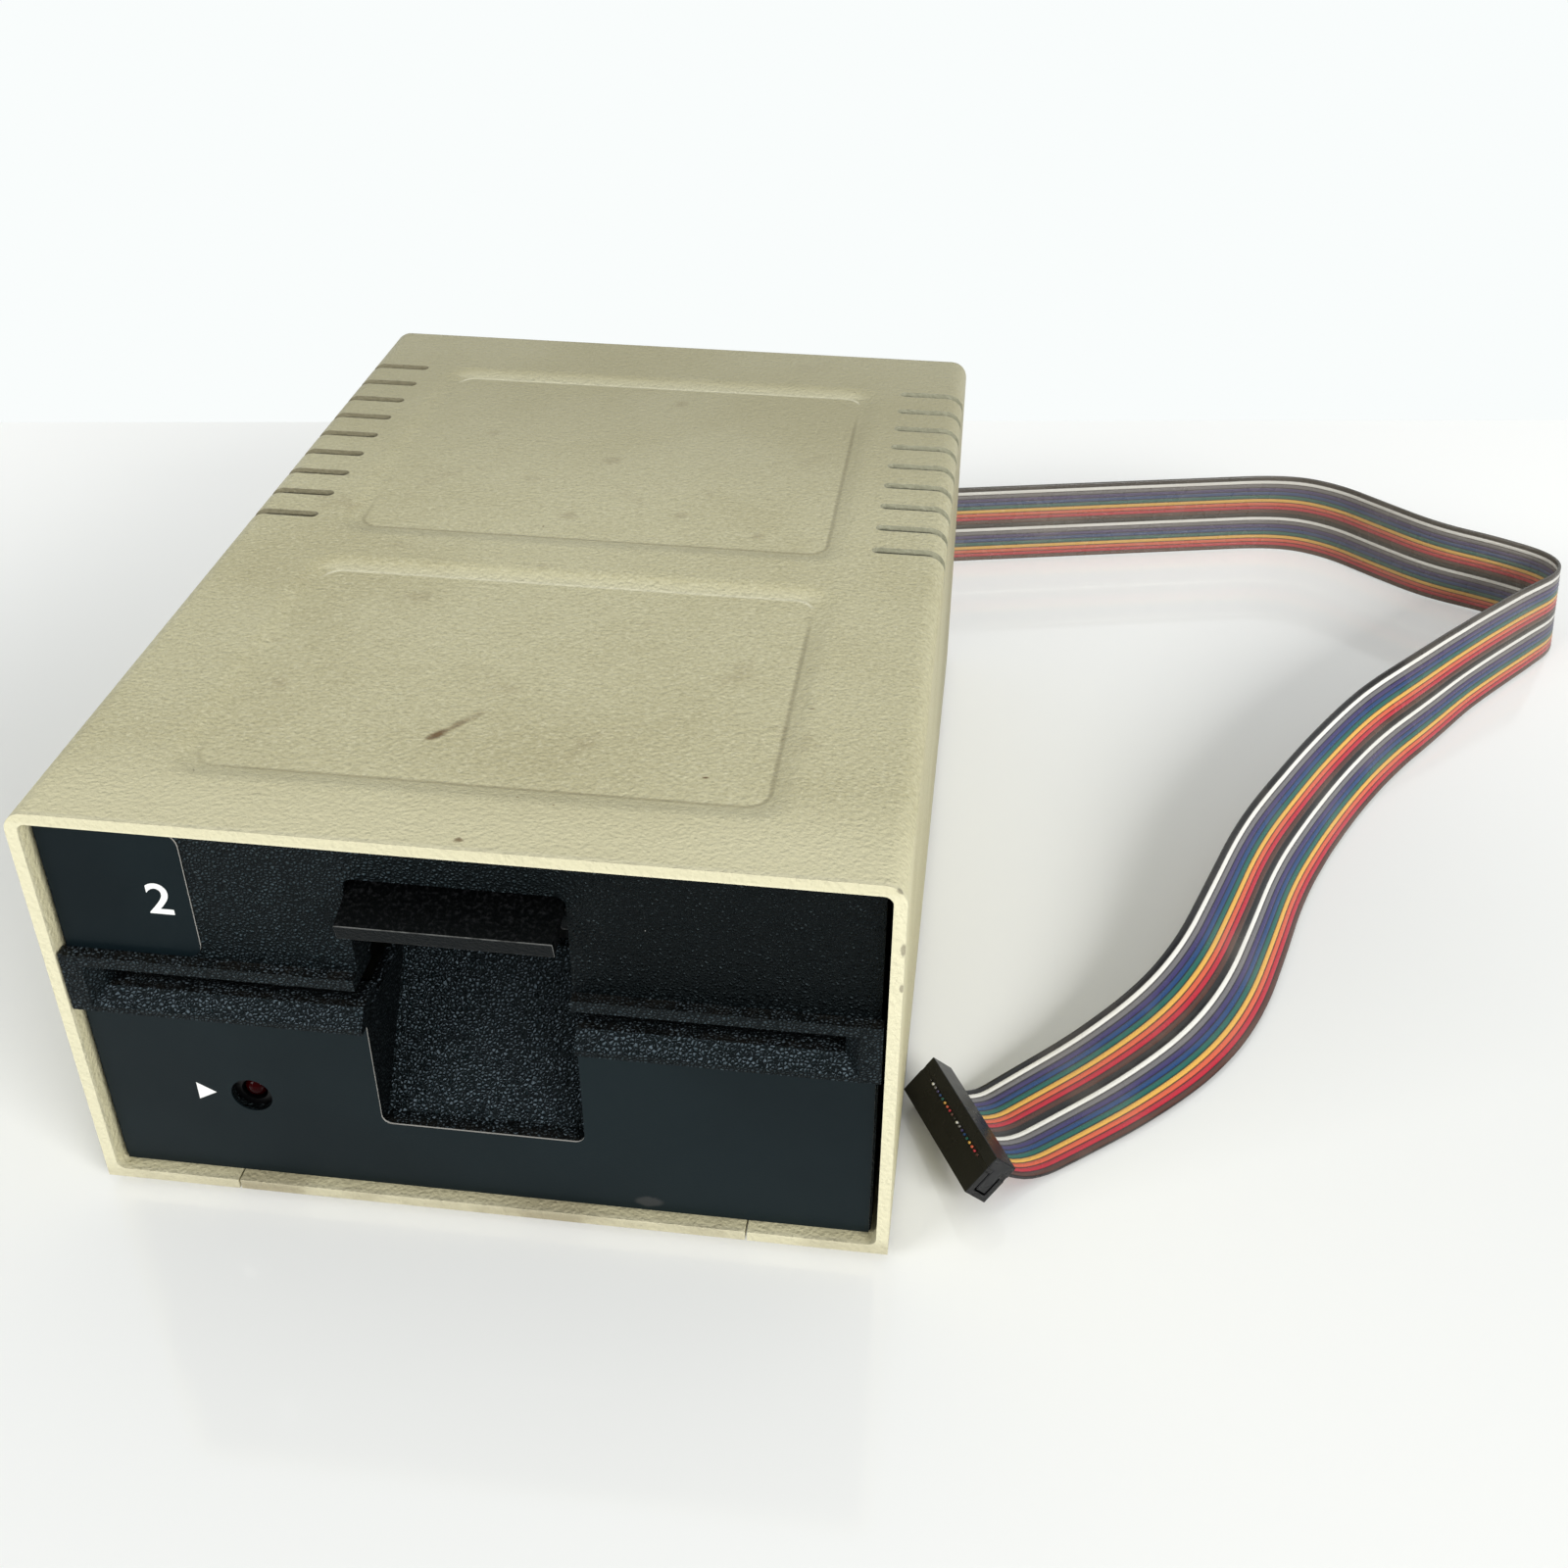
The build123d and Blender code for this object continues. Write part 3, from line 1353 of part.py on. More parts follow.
with BuildPart() as speed_board_parts:
    parts_y = speed_board_y + board_thickness
    trimmer_x = speed_board_edge + trimmer_side
    trimmer_z = deck_top + trimmer_rise
    block(
        (trimmer_x, trimmer_x + trimmer_size),
        (parts_y, parts_y + trimmer_size),
        (trimmer_z, trimmer_z + trimmer_size),
    )
    for number in range(speed_resistor_count):
        x = speed_board_edge + speed_resistor_side
        z = deck_top + speed_resistor_rise + speed_resistor_pitch * number
        crossbar((x, x + resistor_length), parts_y + resistor_radius, z, resistor_radius)
    speed_chip_x = speed_board_edge + speed_chip_side
    speed_chip_z = deck_top + speed_chip_rise
    block(
        (speed_chip_x, speed_chip_x + speed_chip_width),
        (parts_y, parts_y + speed_chip_height),
        (speed_chip_z, speed_chip_z + speed_chip_length),
    )
    speed_can_x = speed_board_edge + speed_can_side
    can_span = (parts_y, parts_y + speed_can_height)
    forward_bar(speed_can_x, can_span, deck_top + speed_can_rise, speed_can_radius)
keep(speed_board_parts, "speed_board_parts")

# ---------------------------------------------------------------- cable clamp
clamp_bar_back = back - case_wall - body_gap
clamp_bar_sides = (clamp_bar_back - clamp_bar_depth, clamp_bar_back)
clamp_bar_half = ribbon_width / 2 + 2 * clamp_screw_inset
clamp_bar_span = (outlet_x - clamp_bar_half, outlet_x + clamp_bar_half)
clamp_screw_y = sum(clamp_bar_sides) / 2
clamp_screw_offset = clamp_bar_half - clamp_screw_inset
clamp_screw_places = (outlet_x - clamp_screw_offset, outlet_x + clamp_screw_offset)
ribbon_floor = outlet_z - ribbon_thickness / 2
ribbon_roof = outlet_z + ribbon_thickness / 2
clamp_bar_top = ribbon_roof + clamp_bar_height
clamp_screw_bore = clamp_screw_radius + fixed_fit
with BuildPart() as cable_clamp_base:
    block(clamp_bar_span, clamp_bar_sides, (floor_z, ribbon_floor))
    for x in clamp_screw_places:
        upright(x, clamp_screw_y, floor_z, clamp_screw_bore, ribbon_floor - floor_z, Mode.SUBTRACT)
keep(cable_clamp_base, "cable_clamp_base")

with BuildPart() as cable_clamp_bar:
    block(clamp_bar_span, clamp_bar_sides, (ribbon_roof, clamp_bar_top))
    for x in clamp_screw_places:
        upright(x, clamp_screw_y, ribbon_roof, clamp_screw_bore, clamp_bar_height, Mode.SUBTRACT)
keep(cable_clamp_bar, "cable_clamp_bar")

with BuildPart() as clamp_screws:
    clamp_screw_low = floor_z + body_gap
    for x in clamp_screw_places:
        upright(x, clamp_screw_y, clamp_screw_low, clamp_screw_radius, clamp_bar_top - clamp_screw_low)
        upright(x, clamp_screw_y, clamp_bar_top, 2 * clamp_screw_radius, 1.2)
keep(clamp_screws, "clamp_screws")

# ---------------------------------------------------------------- plug and ribbon
heading = radians(plug_heading)
rise = radians(plug_rise)
roll = radians(plug_roll)
plug_along = Vector(cos(rise) * cos(heading), cos(rise) * sin(heading), sin(rise))
plug_over = Vector(-sin(rise) * cos(heading), -sin(rise) * sin(heading), cos(rise))
plug_side = Vector(-sin(heading), cos(heading), 0)
plug_up = plug_over * cos(roll) + plug_side * sin(roll)
plug_plane = Plane(origin=(plug_x, plug_y, plug_z), x_dir=plug_along, z_dir=plug_up)
plug_top = plug_height / 2
joint_level = plug_top - plug_cap_height
body_high = joint_level - ribbon_thickness
latch_low = latch_foot - plug_top


def plug_block(size_x, size_y, low, high, mode=Mode.ADD, middle=(0, 0)):
    """Box in the plug's own coordinates, in the current part."""
    place = Location((middle[0], middle[1], (low + high) / 2))
    with Locations(plug_plane.location * place):
        Box(size_x, size_y, high - low, mode=mode)


with BuildPart() as plug_body:
    plug_block(plug_length, plug_thickness, -plug_top, body_high)
    # Socket holes on a square pitch, and a notch at each end for the cap's latches
    with BuildSketch(plug_plane.offset(-plug_top)):
        with GridLocations(pin_pitch, pin_pitch, ribbon_ways // 2, 2):
            Rectangle(socket_size, socket_size)
    extrude(amount=socket_depth, mode=Mode.SUBTRACT)
    for side in (-1, 1):
        notch = (side * (plug_length - notch_depth) / 2, 0)
        notch_low = latch_low - body_gap
        plug_block(notch_depth, notch_width, notch_low, body_high, Mode.SUBTRACT, notch)
keep(plug_body, "plug_body")

with BuildPart() as plug_cap:
    plug_block(plug_length, plug_thickness, joint_level, plug_top)
    for side in (-1, 1):
        latch = (side * (plug_length - latch_thickness) / 2, 0)
        plug_block(latch_thickness, latch_width, latch_low, joint_level, Mode.ADD, latch)
keep(plug_cap, "plug_cap")

# The ribbon leaves the case flat, stands up on its edge round the bend, and lies down
# again on its way to the plug. Each point: x, y, z and the ribbon's lean from upright.
entry = plug_plane.from_local_coords((0, plug_thickness / 2, joint_level - ribbon_thickness / 2))
lead_in = entry + plug_plane.y_dir * lead_in_length
ribbon_route = [
    (outlet_x, back, outlet_z, -90.0),
    (outlet_x, 134.0, outlet_z, -78.0),
    (27.5, 154.0, 11.2, -40.0),
    (47.0, 167.5, 13.2, -8.0),
    (70.0, 173.0, 13.2, 0.0),
    (97.0, 179.3, 13.2, 0.0),
    (125.0, 185.9, 13.2, 0.0),
    (153.0, 192.4, 13.2, 0.0),
    (180.0, 198.6, 13.2, 0.0),
    (195.0, 194.0, 13.2, 0.0),
    (208.0, 182.5, 13.2, 0.0),
    (222.0, 170.8, 13.2, 1.0),
    (238.0, 164.0, 13.2, 2.0),
    (252.5, 155.5, 13.2, 4.0),
    (254.5, 144.5, 13.2, 8.0),
    (241.5, 131.0, 13.0, 14.0),
    (221.5, 108.5, 12.9, 18.0),
    (207.0, 90.5, 12.3, 26.0),
    (193.0, 74.0, 11.5, 33.0),
    (180.5, 54.5, 11.0, 36.0),
    (169.5, 34.5, 10.6, 40.0),
    (159.5, 14.5, 9.6, 48.0),
    (152.0, -7.5, 8.2, 55.0),
    (145.0, -27.0, 7.0, 61.0),
    (135.5, -43.0, 5.6, 68.0),
    (121.5, -57.5, 3.8, 77.0),
    (107.5, -69.0, 2.4, 83.0),
    (lead_in.X, lead_in.Y, lead_in.Z, 88.0),
    (entry.X, entry.Y, entry.Z, 96.0),
]
route_points = [Vector(*place[:3]) for place in ribbon_route]


def corner_radius(before, corner, after):
    """Arc at a corner: as large as its two runs allow."""
    first = corner - before
    second = after - corner
    turn = radians(first.get_angle(second))
    return 0.45 * min(first.length, second.length) / tan(turn / 2)


corners = range(1, len(route_points) - 1)
corner_radii = [corner_radius(*route_points[i - 1 : i + 2]) for i in corners]
print("ribbon arcs:", [round(radius, 1) for radius in corner_radii])
with BuildLine() as ribbon_path:
    FilletPolyline(*route_points, radius=corner_radii)
path_wire = ribbon_path.wires()[0]
ribbon_length = path_wire.length
print("ribbon length:", round(ribbon_length, 1))

# Share of the length at which each point of the route is passed
run_ends = [0.0]
for before, after in zip(route_points, route_points[1:]):
    run_ends.append(run_ends[-1] + (after - before).length)
corner_shares = [end / run_ends[-1] for end in run_ends]


def ribbon_lean(share):
    """Lean at a share of the length, in straight steps between the route's points."""
    for i in range(1, len(corner_shares)):
        if share <= corner_shares[i] or i == len(corner_shares) - 1:
            part_way = (share - corner_shares[i - 1]) / (corner_shares[i] - corner_shares[i - 1])
            return ribbon_route[i - 1][3] * (1 - part_way) + ribbon_route[i][3] * part_way


section_step = 6.0
section_count = round(ribbon_length / section_step)
with BuildPart() as ribbon_cable:
    for number in range(section_count + 1):
        share = number / section_count
        heading_here = path_wire % share
        right = Vector(heading_here.Y, -heading_here.X, 0).normalized()
        lean_here = radians(ribbon_lean(share))
        width_way = Vector(0, 0, 1) * cos(lean_here) + right * sin(lean_here)
        section = Plane(origin=path_wire @ share, x_dir=width_way, z_dir=heading_here)
        with BuildSketch(section):
            Rectangle(ribbon_width, ribbon_thickness)
    loft(ruled=True)
strip_volume = ribbon_width * ribbon_thickness * ribbon_length
print("ribbon volume share:", round(ribbon_cable.part.volume / strip_volume, 3))
keep(ribbon_cable, "ribbon_cable")
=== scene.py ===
"""Looks of an external floppy disk drive, laid out as an add-on and run as a script.

Metres, +Z up. The front panel faces -Y and +X is to its right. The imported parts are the
frame: this file gives them their finishes, puts rounded edges on the shells, and models
the ribbon cable, the prints on the labels and the grip between the plug's two halves.
"""

from math import cos, radians, sin

import bmesh
import bpy
from mathutils import Matrix, Vector


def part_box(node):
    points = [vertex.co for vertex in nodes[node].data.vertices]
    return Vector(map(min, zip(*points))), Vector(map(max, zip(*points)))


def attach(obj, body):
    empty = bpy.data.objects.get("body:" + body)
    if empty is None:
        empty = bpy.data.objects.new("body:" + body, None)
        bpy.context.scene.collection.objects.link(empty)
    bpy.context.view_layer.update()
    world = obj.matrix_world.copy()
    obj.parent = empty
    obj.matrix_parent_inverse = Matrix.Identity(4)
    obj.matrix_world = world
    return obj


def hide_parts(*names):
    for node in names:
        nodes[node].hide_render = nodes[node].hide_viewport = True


bl_info = {
    "name": "Floppy disk drive looks",
    "version": (1, 0, 0),
    "blender": (4, 5, 0),
    "location": "3D View > Sidebar > Disk drive",
    "description": "Finishes, ribbon cable, prints and stage for a free-standing floppy disk drive",
    "category": "Object",
}

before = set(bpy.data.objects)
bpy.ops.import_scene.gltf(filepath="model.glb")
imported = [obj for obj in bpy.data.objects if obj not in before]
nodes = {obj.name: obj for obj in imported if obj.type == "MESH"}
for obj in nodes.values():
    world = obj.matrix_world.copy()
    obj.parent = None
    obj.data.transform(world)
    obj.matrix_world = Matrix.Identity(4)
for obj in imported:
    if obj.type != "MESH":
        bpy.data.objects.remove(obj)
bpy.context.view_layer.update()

mm = 0.001
case_low, case_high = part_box("outer_case")
number_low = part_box("number_label")[0]
lower_low, lower_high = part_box("lower_label")
lamp_low, lamp_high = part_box("activity_led")
lamp_middle = (lamp_low + lamp_high) / 2
inner_ribbon_low, inner_ribbon_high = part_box("inner_ribbon")

# The foot is dirtier between the seams of the front lip, which lie this far off the middle
seam_off = 50 * mm

# Vent slots: how many a side, where the rows start and end, and where the slots end inside
vent_count = 9
vent_start = case_low.y + 115.5 * mm
vent_stop = case_high.y - 25.8 * mm
vent_inner_end = 63.0 * mm

# Pressed panels of the case's top: near and far side of each, half width, corner and slope
panels = ((-90.67 * mm, -17.47 * mm), (2.93 * mm, 87.63 * mm))
panel_half_width = 51.8 * mm
panel_corner = 4.3 * mm
panel_slope = 4.4 * mm

# All edges of the panels lie within this distance from the middle
panel_reach = 57.0 * mm

# Marks on the case's top: middle and half sizes in mm, turn in radians, and strength
top_marks = (
    ((-11.0, -75.8), (3.4, 1.5), 0.96, 0.95),
    ((-8.2, -72.0), (3.8, 1.25), 1.0, 0.6),
    ((-5.6, -68.6), (3.6, 1.3), 1.08, 0.3),
    ((39.7, -82.8), (0.75, 0.45), 0.2, 1.0),
    ((8.6, -93.9), (0.45, 0.35), 0.0, 0.8),
    ((15.4, -95.8), (0.4, 0.3), 0.0, 0.7),
    ((2.1, -107.6), (1.2, 0.9), 0.0, 0.8),
    ((55.9, -59.4), (0.7, 0.4), 0.0, 0.6),
    ((-11.4, 8.1), (0.35, 0.5), 0.0, 0.8),
    ((-3.3, 43.6), (3.4, 3.0), 0.0, 0.22),
    ((-7.0, 13.8), (3.0, 2.6), 0.0, 0.25),
    ((7.1, 78.7), (2.4, 3.0), 0.0, 0.22),
    ((-34.9, 55.0), (2.2, 2.6), 0.0, 0.2),
    ((17.8, 17.5), (2.6, 2.4), 0.0, 0.22),
    ((36.2, 9.7), (1.8, 1.8), 0.0, 0.25),
    ((-29.5, -26.4), (4.4, 3.4), 0.0, 0.18),
)

# Chips in the front lip: x, z and half sizes in mm
lip_chips = ((76.4, 90.4, 1.1, 0.9), (77.2, 78.0, 0.7, 1.6), (77.3, 69.5, 0.6, 1.1))

# Prints: the place of each across and up the front, and their sizes
numeral_place = (-53.6 * mm, 69.9 * mm)
numeral_size = 9.5 * mm
arrow_place = (-54.2 * mm, 26.2 * mm)
arrow_radius = 2.45 * mm
ink_depth = 0.02 * mm

# The ribbon's route: x, y, z and its lean from upright in degrees
ribbon_route = (
    (0.0200, 0.11603, 0.0087, -90),
    (0.0200, 0.1340, 0.0087, -78),
    (0.0275, 0.1540, 0.0112, -40),
    (0.0470, 0.1675, 0.0132, -8),
    (0.0700, 0.1730, 0.0132, 0),
    (0.0970, 0.1793, 0.0132, 0),
    (0.1250, 0.1859, 0.0132, 0),
    (0.1530, 0.1924, 0.0132, 0),
    (0.1800, 0.1986, 0.0132, 0),
    (0.1950, 0.1940, 0.0132, 0),
    (0.2080, 0.1825, 0.0132, 0),
    (0.2220, 0.1708, 0.0132, 1),
    (0.2380, 0.1640, 0.0132, 2),
    (0.2525, 0.1555, 0.0132, 4),
    (0.2545, 0.1445, 0.0132, 8),
    (0.2415, 0.1310, 0.0130, 14),
    (0.2215, 0.1085, 0.0129, 18),
    (0.2070, 0.0905, 0.0123, 26),
    (0.1930, 0.0740, 0.0115, 33),
    (0.1805, 0.0545, 0.0110, 36),
    (0.1695, 0.0345, 0.0106, 40),
    (0.1595, 0.0145, 0.0096, 48),
    (0.1520, -0.0075, 0.0082, 55),
    (0.1450, -0.0270, 0.0070, 61),
    (0.1355, -0.0430, 0.0056, 68),
    (0.1215, -0.0575, 0.0038, 77),
    (0.1075, -0.0690, 0.0024, 83),
    (0.096857, -0.077363, 0.001298, 88),
    (0.092089, -0.079053, 0.006137, 96),
)

# The plug: its middle, the way along it, its upright and its sizes
plug_middle = Vector((0.0892, -0.0803, 0.00705))
plug_heading = radians(-65)
plug_rise = radians(5.7)
plug_roll = radians(44)
plug_length = 33.0 * mm
plug_thickness = 5.8 * mm
wire_end_level = 1.525 * mm

# The camera: where it stands, the directions across and up its picture, and its lens
camera_place = (0.084694, -0.336765, 0.270157)
camera_right = Vector((0.99207943, 0.12547109, 0.00595085))
camera_upward = Vector((-0.07702554, 0.57023886, 0.81785983))
camera_lens = 40.876
camera_sensor = 36.0

# The bezel and its labels mirror a little blue
cool_gloss = {"Specular_Tint": (0.72, 0.94, 1.0)}


def linear(red, green, blue):
    """Scene colour of a screen colour whose channels run from 0 to 255."""
    return tuple((channel / 255) ** 2.2 for channel in (red, green, blue))


# Colours of the ribbon's wires, in the order that comes again every ten wires
wire_code = (
    linear(24, 24, 26),
    linear(240, 238, 230),
    linear(116, 114, 116),
    linear(64, 58, 104),
    linear(36, 70, 116),
    linear(34, 98, 88),
    linear(230, 176, 84),
    linear(218, 98, 70),
    linear(188, 44, 60),
    linear(84, 54, 46),
)


# ---- settings
class RibbonSettings(bpy.types.PropertyGroup):
    """Sizes of the ribbon cable"""

    ways: bpy.props.IntProperty(name="Wires", description="Wires side by side", default=20)
    pitch: bpy.props.FloatProperty(
        name="Pitch", description="Distance between wires", default=1.27 * mm, unit="LENGTH"
    )
    crest: bpy.props.FloatProperty(
        name="Thickness", description="Thickness over a wire", default=0.95 * mm, unit="LENGTH"
    )
    valley: bpy.props.FloatProperty(
        name="Web", description="Thickness between two wires", default=0.62 * mm, unit="LENGTH"
    )


class FinishSettings(bpy.types.PropertyGroup):
    """Colours of the visible finishes"""

    paint: bpy.props.FloatVectorProperty(
        name="Case paint", subtype="COLOR", default=linear(192, 186, 149),
        description="Colour of the painted case",
    )
    dirt: bpy.props.FloatVectorProperty(
        name="Dirt", subtype="COLOR", default=linear(118, 96, 62),
        description="Colour of stains on the paint",
    )
    bezel: bpy.props.FloatVectorProperty(
        name="Bezel", subtype="COLOR", default=linear(13, 16, 17),
        description="Colour of the moulded front",
    )
    label: bpy.props.FloatVectorProperty(
        name="Label", subtype="COLOR", default=linear(17, 24, 27),
        description="Colour of the label film",
    )
    print_ink: bpy.props.FloatVectorProperty(
        name="Print", subtype="COLOR", default=linear(232, 233, 230),
        description="Colour of the printed marks",
    )


class StageSettings(bpy.types.PropertyGroup):
    """Lamps and surroundings"""

    floor: bpy.props.FloatVectorProperty(
        name="Floor", subtype="COLOR", default=(0.87, 0.875, 0.855),
        description="Colour of the table",
    )
    key_power: bpy.props.FloatProperty(
        name="Key lamp", description="Power of the lamp on the right", default=27.0, unit="POWER"
    )
    side_power: bpy.props.FloatProperty(
        name="Side lamp", description="Power of the lamp on the left", default=14.0, unit="POWER"
    )
    top_power: bpy.props.FloatProperty(
        name="Top lamp", description="Power of the overhead lamp", default=2.0, unit="POWER"
    )
    sky: bpy.props.FloatProperty(
        name="Room light", description="Strength of the even room light", default=0.32
    )


# ---- materials
class Finish:
    """A material while it is put together, with the colour that it has so far."""

    def __init__(self, name, color, roughness, **sockets):
        self.material = bpy.data.materials.new(name)
        self.material.use_nodes = True
        self.tree = self.material.node_tree
        self.shader = self.tree.nodes["Principled BSDF"]
        self.color = color
        self.fill(self.shader.inputs["Base Color"], color)
        self.fill(self.shader.inputs["Roughness"], roughness)
        for name, value in sockets.items():
            self.fill(self.shader.inputs[name.replace("_", " ")], value)
        self.place = self.node("ShaderNodeTexCoord").outputs["Object"]

    def fill(self, socket, value):
        """Link a socket to a pattern, or give it a value."""
        if isinstance(value, bpy.types.NodeSocket):
            self.tree.links.new(value, socket)
        elif socket.type == "RGBA" and len(value) == 3:
            socket.default_value = (*value, 1)
        else:
            socket.default_value = value

    def node(self, kind, **settings):
        """New node; a setting that names none of its properties fills a socket."""
        made = self.tree.nodes.new(kind)
        for name, value in settings.items():
            if hasattr(made, name):
                setattr(made, name, value)
            else:
                self.fill(made.inputs[name.replace("_", " ")], value)
        return made

    def paint(self, socket, source):
        """Link a pattern to one of the shader's sockets."""
        self.tree.links.new(source, self.shader.inputs[socket])

    def surface(self, roughness=None, relief=None):
        """Link the colour so far, a roughness and a relief to the shader."""
        self.paint("Base Color", self.color)
        if roughness:
            self.paint("Roughness", roughness)
        if relief:
            self.paint("Normal", relief)
        return self

    def cover(self, color, *parts):
        """Lay a colour over the one so far; the product of the parts is how much of it."""
        self.color = self.blend(self.shares(*parts), self.color, color)

    def blend(self, share, below, above):
        """Mix two colours: sockets 6 and 7 of the node take them, and output 2 is the mix."""
        made = self.node("ShaderNodeMix", data_type="RGBA")
        for index, value in ((0, share), (6, below), (7, above)):
            self.fill(made.inputs[index], value)
        return made.outputs[2]

    def noise(self, scale, detail=2.0, rough=0.5, place=None):
        """Cloudy pattern; scale is in waves per metre."""
        numbers = {"Scale": scale, "Detail": detail, "Roughness": rough}
        made = self.node("ShaderNodeTexNoise", Vector=place or self.place, **numbers)
        return made.outputs["Fac"]

    def cells(self, scale, output="Distance", feature="F1", randomness=1.0, place=None):
        """Cell pattern; scale is in cells per metre."""
        numbers = {"feature": feature, "Scale": scale, "Randomness": randomness}
        made = self.node("ShaderNodeTexVoronoi", Vector=place or self.place, **numbers)
        return made.outputs[output]

    def steps(self, source, *stops, interpolation="LINEAR"):
        """Colours along a value: each stop is its place and a colour."""
        ramp = self.node("ShaderNodeValToRGB", Fac=source)
        ramp.color_ramp.interpolation = interpolation
        elements = ramp.color_ramp.elements
        while len(elements) < len(stops):
            elements.new(1.0)
        for element, (place, color) in zip(elements, stops):
            element.position = place
        for element, (place, color) in zip(elements, stops):
            element.color = (*color, 1)
        return ramp.outputs["Color"]

    def share(self, source, low, high, to_low=0.0, to_high=1.0, course="SMOOTHSTEP"):
        """Share of the way from low to high, smooth unless its course is linear."""
        ends = {"From_Min": low, "From_Max": high, "To_Min": to_low, "To_Max": to_high}
        made = self.node("ShaderNodeMapRange", interpolation_type=course, Value=source, **ends)
        return made.outputs["Result"]

    def shares(self, *parts):
        """Product of parts: each is a value, or the numbers that a share is made from."""
        return self.times(*(self.share(*p) if isinstance(p, tuple) else p for p in parts))

    def math(self, operation, *values, kind="Math", output="Value"):
        """Calculation with one value or two."""
        made = self.node("ShaderNode" + kind, operation=operation)
        for socket, value in zip(made.inputs, values):
            self.fill(socket, value)
        return made.outputs[output]

    def times(self, first, *others):
        """Product of values."""
        for other in others:
            first = self.math("MULTIPLY", first, other)
        return first

    def vector(self, operation, *values):
        """Calculation with one vector or two; a length comes back as a value."""
        output = "Value" if operation == "LENGTH" else "Vector"
        return self.math(operation, *values, kind="VectorMath", output=output)

    def axis(self, name, source=None):
        """One coordinate of a point or a direction."""
        parts = self.node("ShaderNodeSeparateXYZ", Vector=source or self.place)
        return parts.outputs[name]

    def off(self, name, middle=0.0):
        """Distance from a place on an axis, to either side."""
        way = self.axis(name)
        return self.math("ABSOLUTE", self.math("SUBTRACT", way, middle) if middle else way)

    def facing(self, name):
        """How far the surface faces along an axis."""
        return self.axis(name, self.node("ShaderNodeNewGeometry").outputs["True Normal"])

    def patch(self, middle, size, turn=0.0, ragged=0.5, soft=0.55):
        """Share from 1 inside to 0 outside a ragged oval mark."""
        shift = ragged * min(size)
        nudge = self.node("ShaderNodeVectorMath", operation="SCALE", Scale=shift)
        self.fill(nudge.inputs[0], self.noise(900.0, 3.0))
        mapping = self.node(
            "ShaderNodeMapping",
            vector_type="TEXTURE",
            Location=[value + shift / 2 for value in middle],
            Rotation=(0, 0, turn),
            Scale=size,
            Vector=self.vector("ADD", self.place, nudge.outputs["Vector"]),
        )
        reach = self.vector("LENGTH", mapping.outputs["Vector"])
        return self.share(reach, soft, 1.0, 1.0, 0.0)

    def from_outline(self, middle, half, radius):
        """Distance outside a rounded rectangle that lies flat; it is negative inside."""
        flat = self.vector("SUBTRACT", self.place, (*middle, 0))
        flat = self.vector("ABSOLUTE", self.vector("MULTIPLY", flat, (1, 1, 0)))
        core = (half[0] - radius, half[1] - radius, 0)
        past = self.vector("MAXIMUM", self.vector("SUBTRACT", flat, core), (0, 0, 0))
        return self.math("SUBTRACT", self.vector("LENGTH", past), radius)

    def bump(self, height, distance, before=None):
        """Relief of the surface; a second one is laid over the one before."""
        made = self.node("ShaderNodeBump", Height=height, Distance=distance, Strength=1.0)
        if before:
            self.fill(made.inputs["Normal"], before)
        return made.outputs["Normal"]

    def dust(self, scale, size, amount):
        """Scattered specks: share 1 on a speck."""
        near = (self.cells(scale), size * 0.6, size, 1.0, 0.0)
        chosen = self.axis("X", self.cells(scale, "Color"))
        return self.shares(near, (chosen, 1 - amount, 1 - amount + 0.02))


def grained(name, color, roughness, scale, depth, spread=0.25, **sockets):
    """Moulded or cast surface: a tint that wanders a little, and a fine grain."""
    look = Finish(name, color, roughness, **sockets)
    cloud = look.noise(scale / 12, 3.0)
    darker = [channel * (1 - spread) for channel in color]
    look.color = look.blend(look.share(cloud, 0.35, 0.65), darker, color)
    rough = look.share(cloud, 0.3, 0.7, roughness * 0.85, min(1, roughness * 1.15))
    return look.surface(rough, look.bump(look.noise(scale, 3.0), depth))


def metal(name, color, roughness, scale=900.0, depth=0.02 * mm, brushed=1.0, spread=0.2):
    """Bare or plated metal with fine marks, drawn out along X where it is brushed."""
    look = Finish(name, color, roughness, Metallic=1.0)
    mapping = look.node("ShaderNodeMapping", Scale=(1 / brushed, 1, 1), Vector=look.place)
    marks = look.noise(scale, 4.0, place=mapping.outputs["Vector"])
    darker = [channel * (1 - spread) for channel in color]
    look.cover(darker, (look.noise(40.0, 3.0), 0.4, 0.7))
    rough = look.share(marks, 0.3, 0.7, roughness * 0.8, roughness * 1.25)
    return look.surface(rough, look.bump(marks, depth))


def dress(look, *names):
    """Give a finish to parts or pieces."""
    for name in names:
        piece = nodes[name] if isinstance(name, str) else name
        if piece.material_slots:
            for slot in piece.material_slots:
                slot.material = look.material
        else:
            piece.data.materials.append(look.material)


def dress_each(*looks):
    """Finishes of one colour: their kind, name, screen colour, numbers and parts."""
    for kind, name, color, numbers, *parts in looks:
        dress(kind(name, linear(*color), *numbers), *parts)


def settings():
    """Colours of the finishes."""
    return bpy.context.scene.drive_finish


